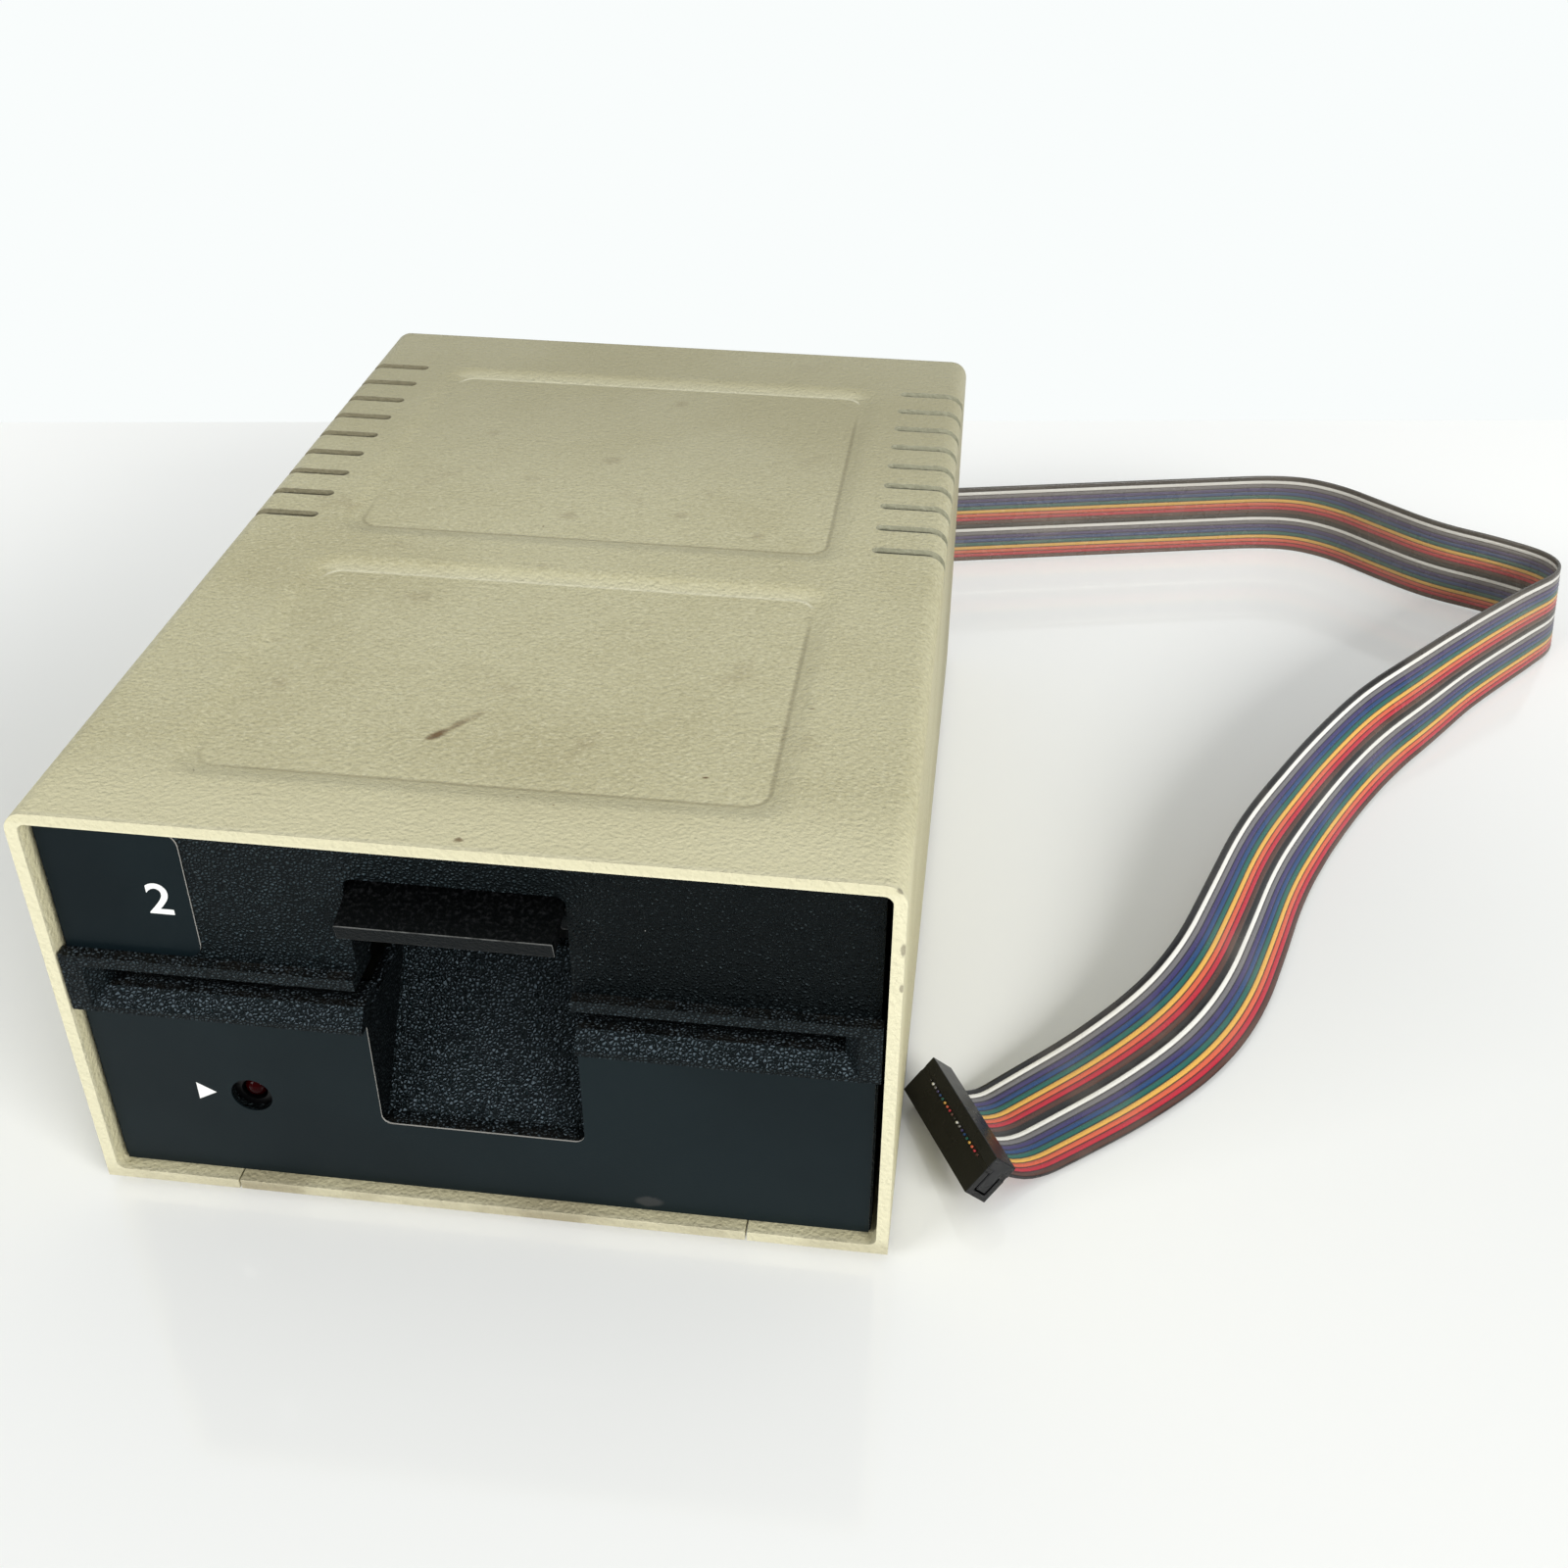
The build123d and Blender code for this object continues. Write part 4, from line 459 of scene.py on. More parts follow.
def case_paint():
    """Textured beige paint, paler on the front lip, with stains and specks, and painted shade and
    highlights on the panels and vents.
    """
    colors = settings()
    look = Finish("case_paint", colors.paint, 0.5)
    cloud = look.noise(16.0, 4.0, 0.6)
    fine = look.noise(1150.0, 3.0, 0.7)
    look.cover(linear(182, 175, 138), (cloud, 0.35, 0.68))
    look.cover(colors.dirt, (look.noise(52.0, 5.0, 0.6), 0.60, 0.74, 0.0, 0.30))
    look.cover(linear(140, 128, 98), (look.noise(1300.0, 2.0), 0.66, 0.74, 0.0, 0.35))
    look.cover(linear(214, 209, 176), (fine, 0.50, 0.72, 0.0, 0.62))
    look.cover(linear(158, 151, 116), (fine, 0.28, 0.50, 0.62, 0.0))
    look.cover(linear(70, 58, 40), look.dust(260.0, 0.05, 0.06), 0.7)
    lip_rear_and_foot(look)
    for (across, along), (long, short), turn, strength in top_marks:
        middle = (across * mm, along * mm, case_high.z)
        mark = look.patch(middle, (long * mm, short * mm, 6 * mm), turn, 1.3, 0.3)
        look.cover(linear(98, 72, 34), mark, strength)
    for near, far in panels:
        panel_light_and_shade(look, near, far)
    vent_shade(look)
    for x, z, half, tall in lip_chips:
        middle = (x * mm, case_low.y, z * mm)
        mark = look.patch(middle, (half * mm, 1.2 * mm, tall * mm), 0.0, 1.2)
        look.cover(linear(92, 84, 70), mark, 0.6)
    peel = look.cells(1050.0, feature="SMOOTH_F1")
    pebbles = look.bump(look.times(peel, -1.0), 0.2 * mm)
    relief = look.bump(look.noise(1500.0, 3.0, 0.6), 0.24 * mm, before=pebbles)
    return look.surface(look.share(cloud, 0.3, 0.7, 0.44, 0.58), relief)


def lip_rear_and_foot(look):
    """Paler front lip, paler paint behind it, darker towards the rear and dirt along the foot."""
    y = look.axis("Y")
    z = look.axis("Z")
    front = case_low.y
    top = case_high.z
    lip = (y, front + 0.2 * mm, front + 1.4 * mm, 1.0, 0.0)
    look.cover(linear(208, 204, 182), lip)
    look.cover(linear(178, 173, 148), lip, (z, top - 2.1 * mm, top - 1.6 * mm, 0.0, 0.8))
    look.cover(linear(212, 206, 170), (y, front + 4 * mm, front + 28 * mm, 0.7, 0.0))
    look.cover(linear(166, 160, 128), (y, 0.0, 90 * mm, 0.0, 0.72))
    look.cover(
        linear(128, 118, 93),
        (z, case_low.z + 1 * mm, case_low.z + 5 * mm, 1.0, 0.0),
        (look.off("X"), seam_off - 0.4 * mm, seam_off + 0.4 * mm, 0.8, 0.42),
        (look.noise(70.0, 4.0), 0.3, 0.62, 0.45, 1.0),
    )


def panel_light_and_shade(look, near, far):
    """Painted shade along a panel's near and right feet and slopes, and painted highlights along
    its far foot and slope.
    """
    middle = (0, (near + far) / 2)
    y = look.axis("Y")
    past = look.from_outline(middle, (panel_half_width, (far - near) / 2), panel_corner)
    beside = look.math("ABSOLUTE", past)
    rightward = look.times(look.axis("X"), 0.6)
    toward = look.math("SUBTRACT", rightward, look.math("SUBTRACT", y, middle[1]))
    # Painted shade: a dark line along the near and right feet
    near_foot_shade = ((beside, 0.1 * mm, 0.75 * mm, 0.5, 0.0), (toward, -6 * mm, 14 * mm))
    look.cover(linear(112, 102, 74), *near_foot_shade)
    # Painted shade on the near and right slopes
    shaded = ((past, 0.0, panel_slope, 0.34, 0.0), (toward, 0.0, 16 * mm))
    look.cover(linear(150, 144, 112), *shaded, (past, -0.3 * mm, 0.3 * mm))
    # Painted highlight: a bright line along the far foot
    far_foot_highlight = ((beside, 0.1 * mm, 0.5 * mm, 0.7, 0.0), (y, far - 4 * mm, far - 1 * mm))
    look.cover(linear(232, 227, 200), *far_foot_highlight)
    # Painted highlight on the far slope, which faces the lamps
    slope = ((past, 0.0, panel_slope, 0.62, 0.0), (y, far - 1 * mm, far + 0.2 * mm))
    look.cover(linear(214, 209, 176), *slope)


def vent_shade(look):
    """Painted shade on the walls of the vent slots, and painted shadow where the slots are open."""
    y = look.axis("Y")
    z = look.axis("Z")
    pitch = (vent_stop - vent_start) / (vent_count - 1)
    # The distance from the nearest slot's line; 40 turns more keep the count positive
    turns = look.math("DIVIDE", look.math("SUBTRACT", y, vent_start), pitch)
    beside = look.times(look.math("PINGPONG", look.math("ADD", turns, 40.0), 0.5), pitch)
    sideways = look.off("X")
    short = look.math("MAXIMUM", look.math("SUBTRACT", vent_inner_end, sideways), 0.0)
    squares = look.math("ADD", look.times(beside, beside), look.times(short, short))
    slot = look.shares(
        (look.math("SQRT", squares), 1.27 * mm, 1.5 * mm, 1.0, 0.0),
        (z, 82.6 * mm, 83 * mm),
        (y, 1.5 * mm, 2.5 * mm),
        (y, 95 * mm, 96 * mm, 1.0, 0.0),
    )
    # Painted shade on the slot walls, less of it on the right, which faces the key lamp
    less_shade_right = look.share(look.axis("X"), -1 * mm, 1 * mm)
    walls = look.blend(less_shade_right, linear(128, 122, 98), linear(154, 153, 130))
    look.cover(walls, slot, 0.95)
    # Painted shadow deep in the slots on the top, where they open into the case
    deep = (z, case_high.z - 1.3 * mm, case_high.z - 0.85 * mm, 0.9, 0.0)
    look.cover(linear(34, 32, 25), slot, deep, (sideways, 73.5 * mm, 75 * mm, 1.0, 0.0))


def leather_plastic():
    """Near-black moulded plastic with a leather grain, dusty on its ledges."""
    bezel = settings().bezel
    look = Finish("bezel_plastic", bezel, 0.42, Specular_IOR_Level=0.13, **cool_gloss)
    pebbles = 1400.0
    valley = look.cells(pebbles, feature="DISTANCE_TO_EDGE")
    aside = look.vector("ADD", look.place, (-0.08 * mm, 0, 0.2 * mm))
    beyond = look.cells(pebbles, feature="DISTANCE_TO_EDGE", place=aside)
    slant = look.math("SUBTRACT", valley, beyond)
    pebble = look.shares(
        (valley, -0.06, 0.46),
        (look.noise(420.0, 3.0), 0.3, 0.7, 0.88, 1.0),
        (look.axis("X", look.cells(pebbles, "Color")), 0.0, 1.0, 0.72, 1.0),
    )
    darkest, paler, palest = linear(6, 9, 10), linear(30, 38, 41), linear(44, 54, 58)
    look.color = look.steps(pebble, (0.0, darkest), (0.3, bezel), (0.6, paler), (1.0, palest))
    # Each pebble is lit on its upper side and dark under its lower one
    up = look.facing("Z")
    look.cover(linear(6, 8, 9), (slant, -0.24, -0.04, 0.6, 0.0))
    look.cover(linear(104, 116, 124), (slant, 0.02, 0.24), (up, 0.1, 0.6, 0.15, 0.7))
    # Painted shade darkens the side walls of the finger recess
    sideways = (look.math("ABSOLUTE", look.facing("X")), 0.5, 0.8, 0.0, 0.85)
    look.cover(linear(2, 2, 3), sideways, (look.off("X"), 21 * mm, 22 * mm, 1.0, 0.0))
    # Painted shade darkens the upper front towards the right
    rightward = (look.axis("X"), -14 * mm, 34 * mm, 0.0, 0.9)
    look.cover(linear(2, 3, 4), rightward, (look.axis("Z"), 58 * mm, 62 * mm))
    # Dust lies on the ledges
    look.cover(
        linear(30, 28, 25),
        (up, 0.80, 0.95),
        (look.axis("Y"), -107 * mm, -105.5 * mm, 1.0, 0.25),
        (look.noise(260.0, 4.0), 0.3, 0.7, 0.2, 0.8),
    )
    # Painted shade: the slot's throat is dark, and so is the hole round the lamp, plain without
    # grain
    throat = ((look.off("X"), 20.4 * mm, 21.4 * mm), (look.axis("Y"), -106.6 * mm, -104.4 * mm))
    look.cover((0.0012, 0.0012, 0.0013), *throat)
    near = (7 * mm, 7.5 * mm, 1.0, 0.0)
    hole = ((look.off("X", lamp_middle.x), *near), (look.off("Z", lamp_middle.z), *near))
    look.cover(linear(5, 6, 7), *hole)
    look.cover(linear(214, 214, 210), look.dust(150.0, 0.035, 0.10))
    grain = look.math("ADD", look.share(valley, 0.0, 0.5), look.noise(900.0, 3.0))
    relief = look.bump(grain, 0.34 * mm)
    return look.surface(look.share(pebble, 0.1, 0.7, 0.55, 0.3), relief)


def label_film(name, gloss):
    """Smooth dark film whose cut edges catch the light, but for the edge round the lamp."""
    look = Finish(name, settings().label, 0.36, Specular_IOR_Level=gloss, **cool_gloss)
    look.cover(linear(21, 29, 32), (look.noise(24.0, 3.0), 0.35, 0.7))
    clear_of_lamp = look.math(
        "MAXIMUM",
        look.share(look.off("X", lamp_middle.x), 5.5 * mm, 6.5 * mm),
        look.share(look.axis("Z"), lower_high.z, lower_high.z + 1 * mm),
    )
    turned = (look.math("ABSOLUTE", look.facing("Y")), 0.3, 0.6, 1.0, 0.0)
    look.cover(linear(168, 166, 160), turned, clear_of_lamp)
    look.cover(linear(190, 192, 190), look.dust(120.0, 0.028, 0.12))
    place = (31.3 * mm, lower_low.y, 7.8 * mm)
    smudge = look.patch(place, (3.2 * mm, 1.5 * mm, 1.6 * mm), 0.0, 0.6)
    look.cover(linear(78, 76, 74), smudge, 0.35)
    rough = look.share(look.noise(60.0, 4.0), 0.3, 0.7, 0.31, 0.42)
    return look.surface(rough, look.bump(look.noise(2400.0, 2.0), 0.012 * mm))


def lever_plastic():
    """Black lever: dull grained top; a smoother lip with a painted slate reflection, and above it
    an edge that is partly worn, partly painted highlight.
    """
    gloss = {"Specular_IOR_Level": 0.1, "Specular_Tint": (0.8, 0.95, 1.0)}
    look = Finish("lever_plastic", linear(3, 3, 3), 0.45, **gloss)
    front = look.times(look.facing("Y"), -1.0)
    grain = look.noise(1400.0, 3.0, 0.6)
    look.cover(linear(30, 30, 31), (grain, 0.48, 0.72))
    # Painted reflection: the front of the lip is slate
    look.cover(linear(11, 14, 16), (front, 0.86, 0.95))
    # The light edge between top and lip is partly wear and partly painted highlight
    edge = ((front, 0.35, 0.45), (front, 0.82, 0.9, 1.0, 0.0))
    look.cover(linear(126, 127, 124), *edge, (look.noise(500.0, 3.0), 0.3, 0.6, 0.2, 0.6))
    look.cover(linear(190, 188, 180), look.dust(170.0, 0.035, 0.08))
    return look.surface(look.share(front, 0.5, 0.95, 0.5, 0.38), look.bump(grain, 0.2 * mm))


def ribbon_vinyl(name, along=None):
    """Vinyl whose wires follow the colour code, over the surface's U or from one x to another."""
    look = Finish(name, (0.1, 0.1, 0.1), 0.34)
    ways = bpy.context.scene.drive_ribbon.ways
    if along is None:
        across = look.axis("X", look.node("ShaderNodeTexCoord").outputs["UV"])
    else:
        across = look.share(look.axis("X"), *along, course="LINEAR")
    stops = [(number / len(wire_code), color) for number, color in enumerate(wire_code)]
    turn = look.math("FRACT", look.times(across, ways / len(wire_code)))
    look.color = look.steps(turn, *stops, interpolation="CONSTANT")
    # The web between two wires lies in shade
    wire = look.math("FRACT", look.times(across, ways))
    beside = look.math("ABSOLUTE", look.math("SUBTRACT", wire, 0.5))
    look.cover((0.010, 0.009, 0.010), (beside, 0.30, 0.47, 0.0, 0.9))
    look.cover(linear(150, 140, 126), (look.noise(45.0, 4.0), 0.42, 0.72, 0.0, 0.16))
    look.cover(linear(132, 124, 112), (look.axis("Y"), 60 * mm, 160 * mm, 0.0, 0.34))
    rough = look.share(look.noise(180.0, 3.0), 0.3, 0.7, 0.22, 0.34)
    return look.surface(rough, look.bump(look.noise(700.0, 2.0), 0.03 * mm))


def board_laminate():
    """Green circuit board with tracks that run along it, and tinned pads."""
    look = Finish("circuit_board", linear(30, 74, 46), 0.38)
    tracks = look.node(
        "ShaderNodeTexWave",
        wave_type="BANDS",
        bands_direction="X",
        Scale=70.0,
        Distortion=2.5,
        Detail=1.0,
        Vector=look.place,
    ).outputs["Fac"]
    look.cover(linear(52, 112, 66), (tracks, 0.45, 0.55))
    look.cover(linear(188, 186, 176), (look.cells(390.0, randomness=0.15), 0.16, 0.2, 1.0, 0.0))
    return look.surface(relief=look.bump(tracks, 0.05 * mm))


def component_mix(name, part, *bands):
    """Components whose finish changes with their place across the board."""
    low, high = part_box(part)
    look = Finish(name, (0.1, 0.1, 0.1), 0.4)
    across = look.share(look.axis("X"), low.x, high.x, course="LINEAR")
    look.color = look.steps(across, *bands, interpolation="CONSTANT")
    look.cover(linear(70, 62, 50), (look.noise(300.0, 3.0), 0.4, 0.7, 0.0, 0.25))
    dress(look.surface(relief=look.bump(look.noise(1500.0), 0.02 * mm)), part)


def lamp_plastic():
    """Deep red clear plastic, a little paler towards its top."""
    look = Finish("lamp_red", linear(14, 2, 4), 0.1, Specular_IOR_Level=0.06)
    look.cover(linear(44, 4, 8), (look.axis("Z"), lamp_low.z, lamp_high.z))
    return look.surface(look.share(look.noise(900.0), 0.3, 0.7, 0.06, 0.12))


def print_ink():
    """Pale ink, a little thinner in places."""
    look = Finish("print_ink", settings().print_ink, 0.45)
    look.cover(linear(120, 124, 126), (look.noise(1400.0, 3.0), 0.62, 0.8, 0.0, 0.35))
    return look.surface(look.share(look.noise(500.0), 0.3, 0.7, 0.4, 0.52))


def table_top(color):
    """White glossy table that is lit from within far away, where its edge would show."""
    look = Finish("table", color, 0.1, Emission_Color=(1.0, 1.0, 0.98))
    look.paint("Roughness", look.share(look.noise(9.0, 3.0), 0.3, 0.7, 0.07, 0.13))
    far = look.share(look.vector("LENGTH", look.place), 0.42, 0.95)
    behind = look.share(look.axis("Y"), -0.09, 0.26, 0.04, 0.27)
    seen = look.node("ShaderNodeLightPath").outputs["Is Camera Ray"]
    look.paint("Emission Strength", look.times(seen, look.math("MAXIMUM", far, behind)))
    return look


def wall_paint():
    """Plain white where it is seen or mirrored from its front; it sends no light."""
    look = Finish("wall", (0.93, 0.94, 0.95), 0.55)
    rays = look.node("ShaderNodeLightPath").outputs
    seen = look.math("MAXIMUM", rays["Is Camera Ray"], rays["Is Glossy Ray"])
    behind = look.node("ShaderNodeNewGeometry").outputs["Backfacing"]
    white = look.node("ShaderNodeEmission", Color=(0.95, 0.98, 0.975), Strength=1.0)
    either = look.node("ShaderNodeMixShader")
    look.fill(either.inputs[0], look.times(seen, look.math("SUBTRACT", 1.0, behind)))
    look.fill(either.inputs[1], look.node("ShaderNodeBsdfTransparent").outputs[0])
    look.fill(either.inputs[2], white.outputs[0])
    output = look.tree.nodes["Material Output"]
    look.fill(output.inputs["Surface"], either.outputs[0])
    return look


# ---- modelling helpers
def only(piece):
    """Make a piece the one that operators act on."""
    bpy.ops.object.select_all(action="DESELECT")
    piece.select_set(True)
    bpy.context.view_layer.objects.active = piece


def linked(name, data):
    """New object of the scene."""
    made = bpy.data.objects.new(name, data)
    bpy.context.scene.collection.objects.link(made)
    return made


def added(name):
    """The primitive that was just added, under its own name."""
    piece = bpy.context.active_object
    piece.name = name
    piece.data.name = name
    return piece


def settle(piece):
    """Put the piece's place into its mesh."""
    only(piece)
    bpy.ops.object.transform_apply(location=True, rotation=True, scale=True)
    return piece


def finish_modifiers(piece):
    """Apply every modifier of the piece."""
    only(piece)
    for modifier in list(piece.modifiers):
        bpy.ops.object.modifier_apply(modifier=modifier.name)


def on_all(operator, **values):
    """Run an operator on the whole mesh of the active piece."""
    bpy.ops.object.mode_set(mode="EDIT")
    bpy.ops.mesh.select_all(action="SELECT")
    operator(**values)
    bpy.ops.object.mode_set(mode="OBJECT")


def joined(pieces, name):
    """Join pieces into one mesh."""
    only(pieces[0])
    for piece in pieces:
        piece.select_set(True)
    bpy.ops.object.join()
    return added(name)


def copies(piece, places):
    """Copies of a piece at the given matrices, each with its own mesh."""
    made = []
    for place in places:
        twin = linked(piece.name, piece.data.copy())
        twin.matrix_world = place
        made.append(twin)
    bpy.data.objects.remove(piece)
    return made


def softened(node, name, width, slot, body="drive", chosen=None, chosen_width=0.0):
    """Copy of a part with merged faces: chosen edges are rounded wide, other sharp ones finely."""
    mesh = nodes[node].data.copy()
    piece = linked(name, mesh)
    mesh.name = name
    only(piece)
    bpy.ops.mesh.customdata_custom_splitnormals_clear()
    bpy.ops.object.mode_set(mode="EDIT")
    bpy.ops.mesh.select_all(action="SELECT")
    bpy.ops.mesh.remove_doubles(threshold=0.002 * mm)
    bpy.ops.mesh.dissolve_limited(angle_limit=radians(0.6))
    if chosen:
        bpy.ops.mesh.select_all(action="DESELECT")
        bpy.ops.mesh.select_mode(type="EDGE")
        edit = bmesh.from_edit_mesh(mesh)
        for edge in edit.edges:
            if edge.calc_face_angle(0) > radians(6) and all(chosen(v.co) for v in edge.verts):
                edge.select_set(True)
        bmesh.update_edit_mesh(mesh)
        bpy.ops.mesh.bevel(offset=chosen_width, segments=4, affect="EDGES")
    bpy.ops.object.mode_set(mode="OBJECT")
    rounding = piece.modifiers.new("rounding", "BEVEL")
    rounding.width = width
    rounding.segments = 3
    rounding.limit_method = "ANGLE"
    rounding.angle_limit = radians(40)
    finish_modifiers(piece)
    bpy.ops.object.shade_smooth_by_angle(angle=radians(32))
    flats = piece.modifiers.new("flats", "WEIGHTED_NORMAL")
    flats.keep_sharp = True
    flats.weight = 90
    finish_modifiers(piece)
    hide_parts(node)
    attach(piece, body)
    return piece


def lamp(name, place, target, size, power):
    """Rectangular lamp that points at a target."""
    data = bpy.data.lights.new(name, "AREA")
    data.shape = "RECTANGLE"
    data.size, data.size_y = size
    data.energy = power
    lit = linked(name, data)
    lit.location = place
    direction = Vector(target) - Vector(place)
    lit.rotation_euler = direction.to_track_quat("-Z", "Y").to_euler()


def room_light(sky):
    """Even light of the room, which the camera sees as plain white."""
    world = bpy.data.worlds.new("room")
    bpy.context.scene.world = world
    world.use_nodes = True
    tree = world.node_tree
    background = tree.nodes["Background"]
    background.inputs["Color"].default_value = (0.95, 0.98, 0.985, 1)
    rays = tree.nodes.new("ShaderNodeLightPath")
    strength = tree.nodes.new("ShaderNodeMapRange")
    strength.inputs["To Min"].default_value = sky
    strength.inputs["To Max"].default_value = 1.0
    tree.links.new(rays.outputs["Is Camera Ray"], strength.inputs["Value"])
    tree.links.new(strength.outputs["Result"], background.inputs["Strength"])


def camera():
    """The scene's camera, with its place, turn and lens."""
    data = bpy.data.cameras.new("camera")
    data.lens = camera_lens
    data.sensor_width = camera_sensor
    made = linked("camera", data)
    backward = camera_right.cross(camera_upward)
    turn = Matrix((camera_right, camera_upward, backward)).transposed()
    made.matrix_world = Matrix.Translation(camera_place) @ turn.to_4x4()
    bpy.context.scene.camera = made


def lengths(points):
    """Length along a line of points, up to each of them."""
    reach = [0.0]
    for before, after in zip(points, points[1:]):
        reach.append(reach[-1] + (after - before).length)
    return reach


def route_points():
    """Points along the smooth curve that follows the ribbon's route."""
    curve = bpy.data.curves.new("route", "CURVE")
    curve.dimensions = "3D"
    spline = curve.splines.new("NURBS")
    spline.points.add(len(ribbon_route) - 1)
    for point, (x, y, z, lean) in zip(spline.points, ribbon_route):
        point.co = (x, y, z, 1)
    spline.order_u = 3
    spline.use_endpoint_u = True
    spline.resolution_u = 8
    route = linked("route", curve)
    bpy.context.view_layer.update()
    line = bpy.data.meshes.new_from_object(route)
    points = [vertex.co.copy() for vertex in line.vertices]
    bpy.data.objects.remove(route)
    return points


def lean_at(share):
    """Lean at a share of the length, in straight steps between the route's points."""
    ends = lengths([Vector(place[:3]) for place in ribbon_route])
    length = share * ends[-1]
    for i in range(1, len(ends)):
        if length <= ends[i] or i == len(ends) - 1:
            part = (length - ends[i - 1]) / (ends[i] - ends[i - 1])
            return radians(ribbon_route[i - 1][3] * (1 - part) + ribbon_route[i][3] * part)


def wire_ring(sizes):
    """Outline of the joined wires: share of the width, and height off the ribbon's middle."""
    # One wire's outline on one face: share of its pitch, and share of its rise
    wire_shape = ((0.0, 0.0), (0.16, 0.72), (0.5, 1.0), (0.84, 0.72))
    outline = []
    for number in range(sizes.ways):
        for part, rise in wire_shape:
            height = sizes.valley + (sizes.crest - sizes.valley) * rise
            outline.append(((number + part) / sizes.ways, height / 2))
    outline.append((1.0, sizes.valley / 2))
    return outline + [(share, -height) for share, height in reversed(outline)]


def ribbon_mesh(points, sizes):
    """The ribbon's skin along its points; U is the share of its width, and V its length."""
    reach = lengths(points)
    ring = wire_ring(sizes)
    width = sizes.ways * sizes.pitch
    vertices = []
    for index, point in enumerate(points):
        heading = points[min(index + 1, len(points) - 1)] - points[max(index - 1, 0)]
        heading.normalize()
        right = Vector((heading.y, -heading.x, 0)).normalized()
        lean = lean_at(reach[index] / reach[-1])
        width_way = Vector((0, 0, 1)) * cos(lean) + right * sin(lean)
        width_way = (width_way - heading * width_way.dot(heading)).normalized()
        face_way = heading.cross(width_way)
        for share, height in ring:
            vertices.append(point + width_way * width * (0.5 - share) + face_way * height)
    around = len(ring)
    faces = []
    for index in range(len(points) - 1):
        for k in range(around):
            first, second = index * around + k, index * around + (k + 1) % around
            faces.append((first, second, second + around, first + around))
    faces.append(tuple(reversed(range(around))))
    faces.append(tuple(range((len(points) - 1) * around, len(points) * around)))
    mesh = bpy.data.meshes.new("ribbon")
    mesh.from_pydata(vertices, [], faces)
    wires = mesh.uv_layers.new(name="wires").data
    for loop in mesh.loops:
        index, k = divmod(loop.vertex_index, around)
        wires[loop.index].uv = (ring[k][0], reach[index])
    # A wire's colour ends in the middle of the web beside it, so no face spans two colours
    for face in mesh.polygons:
        shares = [wires[loop].uv.x for loop in face.loop_indices]
        middle = (min(shares) + max(shares)) / 2
        if len(shares) == 4:
            for loop, share in zip(face.loop_indices, shares):
                wires[loop].uv.x = share + (middle - share) * 0.02
    return mesh


def plug_frame():
    """Directions along, across and up the plug."""
    level = cos(plug_rise)
    along = Vector((level * cos(plug_heading), level * sin(plug_heading), sin(plug_rise)))
    side = Vector((-sin(plug_heading), cos(plug_heading), 0))
    over = along.cross(side)
    up = over * cos(plug_roll) + side * sin(plug_roll)
    across = up.cross(along)
    return along, across, up


def wire_ends(sizes):
    """Cut ends of the wires in the plug's near face, each with its wire's place in U."""
    along, across, up = plug_frame()
    bpy.ops.mesh.primitive_cylinder_add(vertices=12, radius=0.28 * mm, depth=0.5 * mm)
    end = added("wire_end")
    on_all(bpy.ops.mesh.bevel, offset=0.08 * mm, segments=2, affect="EDGES")
    turn = Matrix((along, up, -across)).transposed().to_4x4()
    places = []
    for number in range(sizes.ways):
        offset = (number - (sizes.ways - 1) / 2) * sizes.pitch
        place = plug_middle + along * offset - across * plug_thickness / 2 + up * wire_end_level
        places.append(Matrix.Translation(place) @ turn)
    ends = copies(end, places)
    for number, piece in enumerate(ends):
        for entry in piece.data.uv_layers.active.data:
            entry.uv = ((number + 0.5) / sizes.ways, 0)
    return settle(joined(ends, "wire_ends"))


# ---- operators
class DRIVE_OT_stage(bpy.types.Operator):
    """Table, wall, lamps and camera"""

    bl_idname = "drive.stage"
    bl_label = "Stage"

    def execute(self, context):
        stage = context.scene.drive_stage
        bpy.ops.mesh.primitive_plane_add(size=8.0)
        floor = added("table")
        dress(table_top(stage.floor), floor)
        # The wall stands behind the drive, turned a little
        bpy.ops.mesh.primitive_plane_add(
            size=3.0, location=(0.0088, 0.2765, 1.5), rotation=(radians(90), 0, radians(8.2))
        )
        wall = added("wall")
        dress(wall_paint(), wall)
        lamp("key", (1.15, -1.15, 0.75), (0.05, 0, 0.03), (0.9, 0.6), stage.key_power)
        lamp("side", (-1.1, -1.1, 0.7), (0.0, 0, 0.03), (0.8, 0.6), stage.side_power)
        lamp("top", (0.0, 0.0, 1.3), (0.05, 0, 0), (1.4, 1.4), stage.top_power)
        room_light(stage.sky)
        camera()
        context.scene.view_settings.view_transform = "Standard"
        return {"FINISHED"}


class DRIVE_OT_ribbon(bpy.types.Operator):
    """Ribbon cable from the case's back to its plug"""

    bl_idname = "drive.ribbon"
    bl_label = "Ribbon cable"

    def execute(self, context):
        sizes = context.scene.drive_ribbon
        points = route_points()
        ribbon = linked("ribbon", ribbon_mesh(points, sizes))
        only(ribbon)
        bpy.ops.object.shade_smooth_by_angle(angle=radians(75))
        ends = wire_ends(sizes)
        vinyl = ribbon_vinyl("ribbon_vinyl")
        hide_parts("ribbon_cable")
        for piece in (ribbon, ends):
            dress(vinyl, piece)
            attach(piece, "drive")
        inside = (inner_ribbon_low.x, inner_ribbon_high.x)
        dress(ribbon_vinyl("inner_ribbon_vinyl", inside), "inner_ribbon")
        return {"FINISHED"}


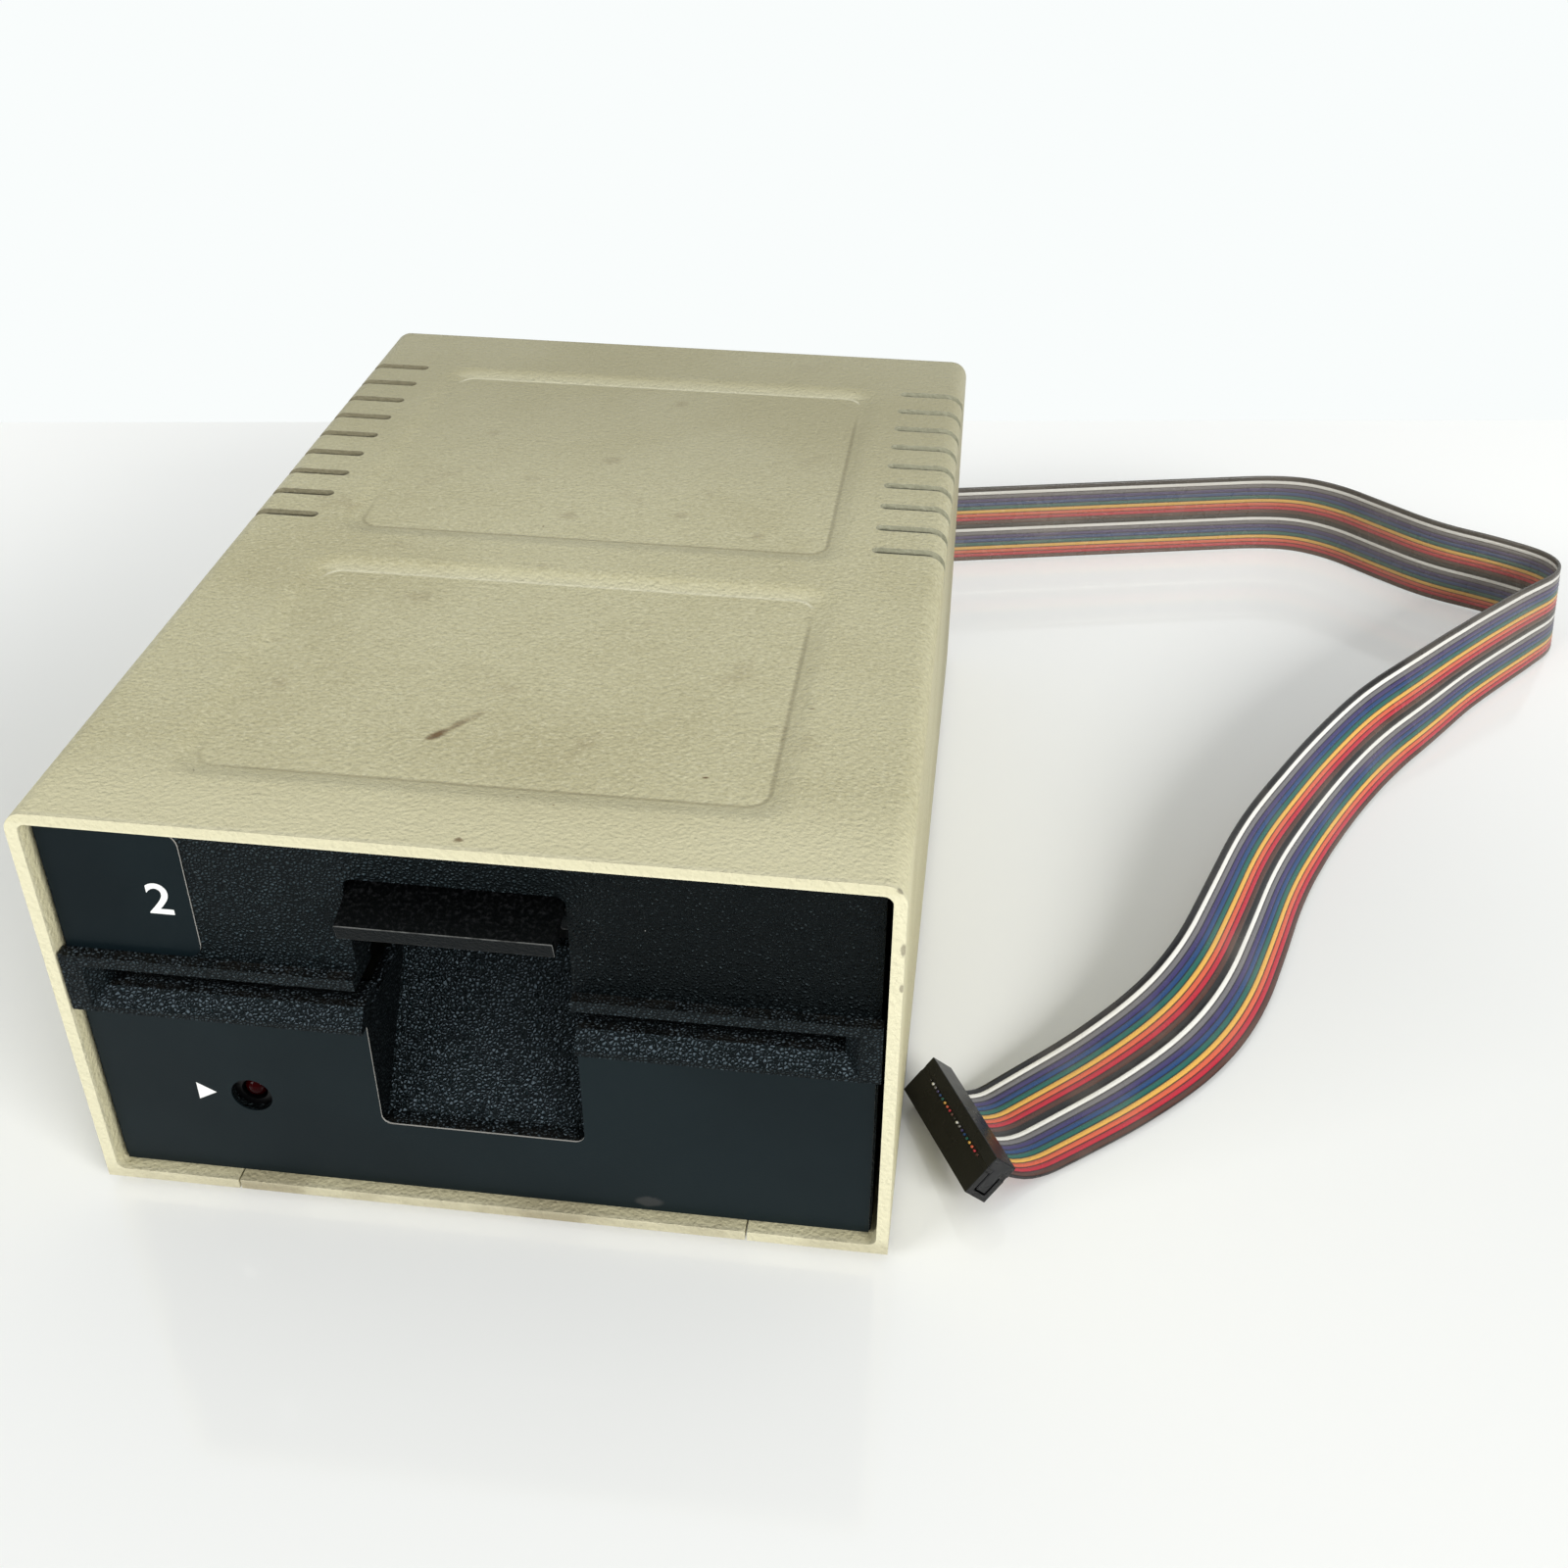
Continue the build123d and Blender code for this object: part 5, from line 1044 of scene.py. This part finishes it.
class DRIVE_OT_case(bpy.types.Operator):
    """Painted case, base pan, feet and screws"""

    bl_idname = "drive.case"
    bl_label = "Case"

    def execute(self, context):
        paint = case_paint()

        def on_panel_edge(place):
            return place.z > case_high.z - 0.05 * mm and abs(place.x) < panel_reach

        edges = {"chosen": on_panel_edge, "chosen_width": 1.3 * mm}
        case = softened("outer_case", "case_shell", 0.6 * mm, "case_paint", **edges)
        dress(paint, case, softened("base_pan", "pan_shell", 0.35 * mm, "case_paint"))
        rubber = grained("foot_rubber", linear(38, 38, 38), 0.8, 900.0, 0.06 * mm)
        dress(rubber, "rubber_feet")
        zinc = metal("screw_steel", linear(176, 176, 172), 0.32)
        dress(zinc, "pan_screws", "chassis_screws", "bezel_screws", "board_screws", "clamp_screws")
        return {"FINISHED"}


class DRIVE_OT_front(bpy.types.Operator):
    """Bezel, labels, lamp, lever and its pin"""

    bl_idname = "drive.front"
    bl_label = "Front"

    def execute(self, context):
        leather = leather_plastic()
        dress(leather, softened("front_bezel", "bezel_moulding", 0.3 * mm, "bezel_plastic"))
        dress(label_film("number_film", 0.1), "number_label")
        dress(label_film("label_film", 0.17), "lower_label")
        gloss = {"Specular_IOR_Level": 0.2}
        collar = grained("collar_plastic", linear(12, 12, 13), 0.35, 900.0, 0.02 * mm, **gloss)
        dress(collar, "led_collar")
        dress(lamp_plastic(), "activity_led")
        lever = softened("door_lever", "lever_moulding", 0.35 * mm, "lever_plastic", "door")
        dress(lever_plastic(), lever)
        dress(metal("pin_steel", linear(190, 190, 188), 0.25), "door_pin")
        return {"FINISHED"}


class DRIVE_OT_prints(bpy.types.Operator):
    """Numeral and arrow printed on the labels"""

    bl_idname = "drive.prints"
    bl_label = "Prints"

    def execute(self, context):
        ink = print_ink()
        upright = Matrix.Rotation(radians(90), 4, "X")
        bpy.ops.object.text_add()
        numeral = added("numeral")
        numeral.data.body = "2"
        numeral.data.size = numeral_size
        numeral.data.offset = 0.12 * mm
        numeral.data.extrude = ink_depth
        numeral.data.align_x = "CENTER"
        bpy.ops.object.convert(target="MESH")
        across, up = numeral_place
        place = Matrix.Translation((across, number_low.y - ink_depth, up))
        numeral.matrix_world = place @ upright @ Matrix.Diagonal((1.04, 1, 1, 1))
        bpy.ops.mesh.primitive_circle_add(vertices=3, radius=arrow_radius, fill_type="NGON")
        arrow = added("arrow")
        rise = {"value": (0, 0, 2 * ink_depth)}
        on_all(bpy.ops.mesh.extrude_region_move, TRANSFORM_OT_translate=rise)
        across, up = arrow_place
        place = Matrix.Translation((across, lower_low.y, up))
        arrow.matrix_world = place @ upright @ Matrix.Rotation(radians(-90), 4, "Z")
        for piece in (numeral, arrow):
            settle(piece)
            dress(ink, piece)
            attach(piece, "drive")
        return {"FINISHED"}


class DRIVE_OT_plug(bpy.types.Operator):
    """Plug body, its cap and the grip between them"""

    bl_idname = "drive.plug"
    bl_label = "Plug"

    def execute(self, context):
        gloss = {"Specular_IOR_Level": 0.3}
        black = grained("plug_plastic", linear(15, 15, 16), 0.3, 1500.0, 0.03 * mm, **gloss)
        dress(black, softened("plug_body", "plug_moulding", 0.25 * mm, "plug_plastic"))
        grey = grained("plug_cap_plastic", linear(24, 25, 27), 0.28, 1500.0, 0.03 * mm, **gloss)
        dress(grey, softened("plug_cap", "plug_strip", 0.25 * mm, "plug_plastic"))
        # The grip fills the slit between body and cap around the cut wires
        along, across, up = plug_frame()
        bpy.ops.mesh.primitive_cube_add(size=1)
        grip = added("plug_grip")
        grip.scale = (plug_length - 0.3 * mm, plug_thickness - 0.1 * mm, 1.1 * mm)
        settle(grip)
        on_all(bpy.ops.mesh.bevel, offset=0.1 * mm, segments=2, affect="EDGES")
        turn = Matrix((along, across, up)).transposed().to_4x4()
        grip.matrix_world = Matrix.Translation(plug_middle + up * wire_end_level) @ turn
        settle(grip)
        dress(black, grip)
        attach(grip, "drive")
        return {"FINISHED"}


class DRIVE_OT_mechanism(bpy.types.Operator):
    """Chassis, rails, spindle, motors, carriage and clamp"""

    bl_idname = "drive.mechanism"
    bl_label = "Mechanism"

    def execute(self, context):
        rails = ("guide_rail_left", "guide_rail_right")
        black_parts = ("spindle_pulley", "clamp_cone")
        steel_parts = ("clamp_arm", "clamp_pin", "guide_rods", "rod_clamps", "cone_spring")
        steel_parts += ("cone_clip", "load_pin", "cam_follower", "spindle_bearings")
        carried = ("head_carriage", "load_arm")
        head = "read_write_head"
        dress_each(
            (metal, "cast_frame", (158, 160, 162), (0.46, 500.0, 0.09 * mm), "chassis"),
            (grained, "guide_nylon", (222, 218, 204), (0.45, 700.0, 0.03 * mm, 0.08), *rails),
            (grained, "pulley_plastic", (34, 34, 36), (0.4, 900.0, 0.04 * mm), *black_parts),
            (metal, "arm_steel", (186, 186, 182), (0.3, 900.0, 0.02 * mm, 8.0), *steel_parts),
            (metal, "spindle_alloy", (204, 204, 202), (0.22,), "spindle_hub"),
            (metal, "motor_shell", (150, 150, 146), (0.4,), "drive_motor", "stepper_motor"),
            (metal, "pulley_brass", (206, 168, 92), (0.28,), "motor_pulley"),
            (grained, "belt_rubber", (28, 27, 26), (0.7, 1200.0, 0.03 * mm), "drive_belt"),
            (grained, "cam_plastic", (214, 204, 170), (0.4, 900.0, 0.03 * mm, 0.1), "cam_disc"),
            (grained, "carriage_plastic", (44, 42, 40), (0.45, 900.0, 0.05 * mm), *carried),
            (grained, "head_ceramic", (120, 112, 104), (0.15, 900.0, 0.005 * mm), head),
            (grained, "pad_felt", (206, 198, 182), (0.95, 2500.0, 0.2 * mm, 0.2), "load_pad"),
            (grained, "switch_plastic", (30, 30, 32), (0.4, 900.0, 0.03 * mm), "switch_body"),
            (grained, "plunger_plastic", (214, 60, 46), (0.35, 900.0, 0.02 * mm), "switch_plunger"),
        )
        return {"FINISHED"}


class DRIVE_OT_boards(bpy.types.Operator):
    """Circuit boards, their components and the cable clamp"""

    bl_idname = "drive.boards"
    bl_label = "Boards"

    def execute(self, context):
        dress(board_laminate(), "analog_board", "speed_board")
        chips = grained("chip_epoxy", linear(30, 30, 32), 0.5, 1500.0, 0.02 * mm)
        dress(chips, "board_chips")
        component_mix(
            "board_components",
            "board_parts",
            (0.0, linear(196, 160, 112)),
            (0.1, linear(96, 62, 40)),
            (0.36, linear(40, 78, 150)),
            (0.72, linear(196, 160, 112)),
            (0.83, linear(36, 40, 62)),
        )
        component_mix(
            "speed_components",
            "speed_board_parts",
            (0.0, linear(52, 96, 168)),
            (0.3, linear(196, 160, 112)),
            (0.5, linear(30, 30, 32)),
        )
        sockets = ("board_header", "inner_plug")
        clamp = ("cable_clamp_base", "cable_clamp_bar")
        dress_each(
            (grained, "connector_plastic", (46, 44, 42), (0.4, 900.0, 0.03 * mm), *sockets),
            (grained, "clamp_bar_plastic", (58, 58, 60), (0.45, 900.0, 0.04 * mm), *clamp),
        )
        return {"FINISHED"}


class DRIVE_PT_looks(bpy.types.Panel):
    """Sizes, colours and the operators that make each group"""

    bl_idname = "DRIVE_PT_looks"
    bl_label = "Disk drive"
    bl_space_type = "VIEW_3D"
    bl_region_type = "UI"
    bl_category = "Disk drive"

    def draw(self, context):
        for group, keys in (
            (context.scene.drive_ribbon, ("ways", "pitch", "crest", "valley")),
            (context.scene.drive_finish, ("paint", "dirt", "bezel", "label", "print_ink")),
            (context.scene.drive_stage, ("floor", "key_power", "side_power", "top_power", "sky")),
        ):
            box = self.layout.box()
            for key in keys:
                box.prop(group, key)
        for operator in operators:
            self.layout.operator(operator.bl_idname)


operators = (
    DRIVE_OT_stage,
    DRIVE_OT_plug,
    DRIVE_OT_ribbon,
    DRIVE_OT_case,
    DRIVE_OT_front,
    DRIVE_OT_prints,
    DRIVE_OT_mechanism,
    DRIVE_OT_boards,
)
classes = (RibbonSettings, FinishSettings, StageSettings, *operators, DRIVE_PT_looks)


def register():
    for item in classes:
        bpy.utils.register_class(item)
    bpy.types.Scene.drive_ribbon = bpy.props.PointerProperty(type=RibbonSettings)
    bpy.types.Scene.drive_finish = bpy.props.PointerProperty(type=FinishSettings)
    bpy.types.Scene.drive_stage = bpy.props.PointerProperty(type=StageSettings)


def unregister():
    del bpy.types.Scene.drive_ribbon
    del bpy.types.Scene.drive_finish
    del bpy.types.Scene.drive_stage
    for item in reversed(classes):
        bpy.utils.unregister_class(item)


def main():
    register()
    bpy.ops.drive.stage()
    bpy.ops.drive.plug()
    bpy.ops.drive.ribbon()
    bpy.ops.drive.case()
    bpy.ops.drive.front()
    bpy.ops.drive.prints()
    bpy.ops.drive.mechanism()
    bpy.ops.drive.boards()


if __name__ == "__main__":
    main()
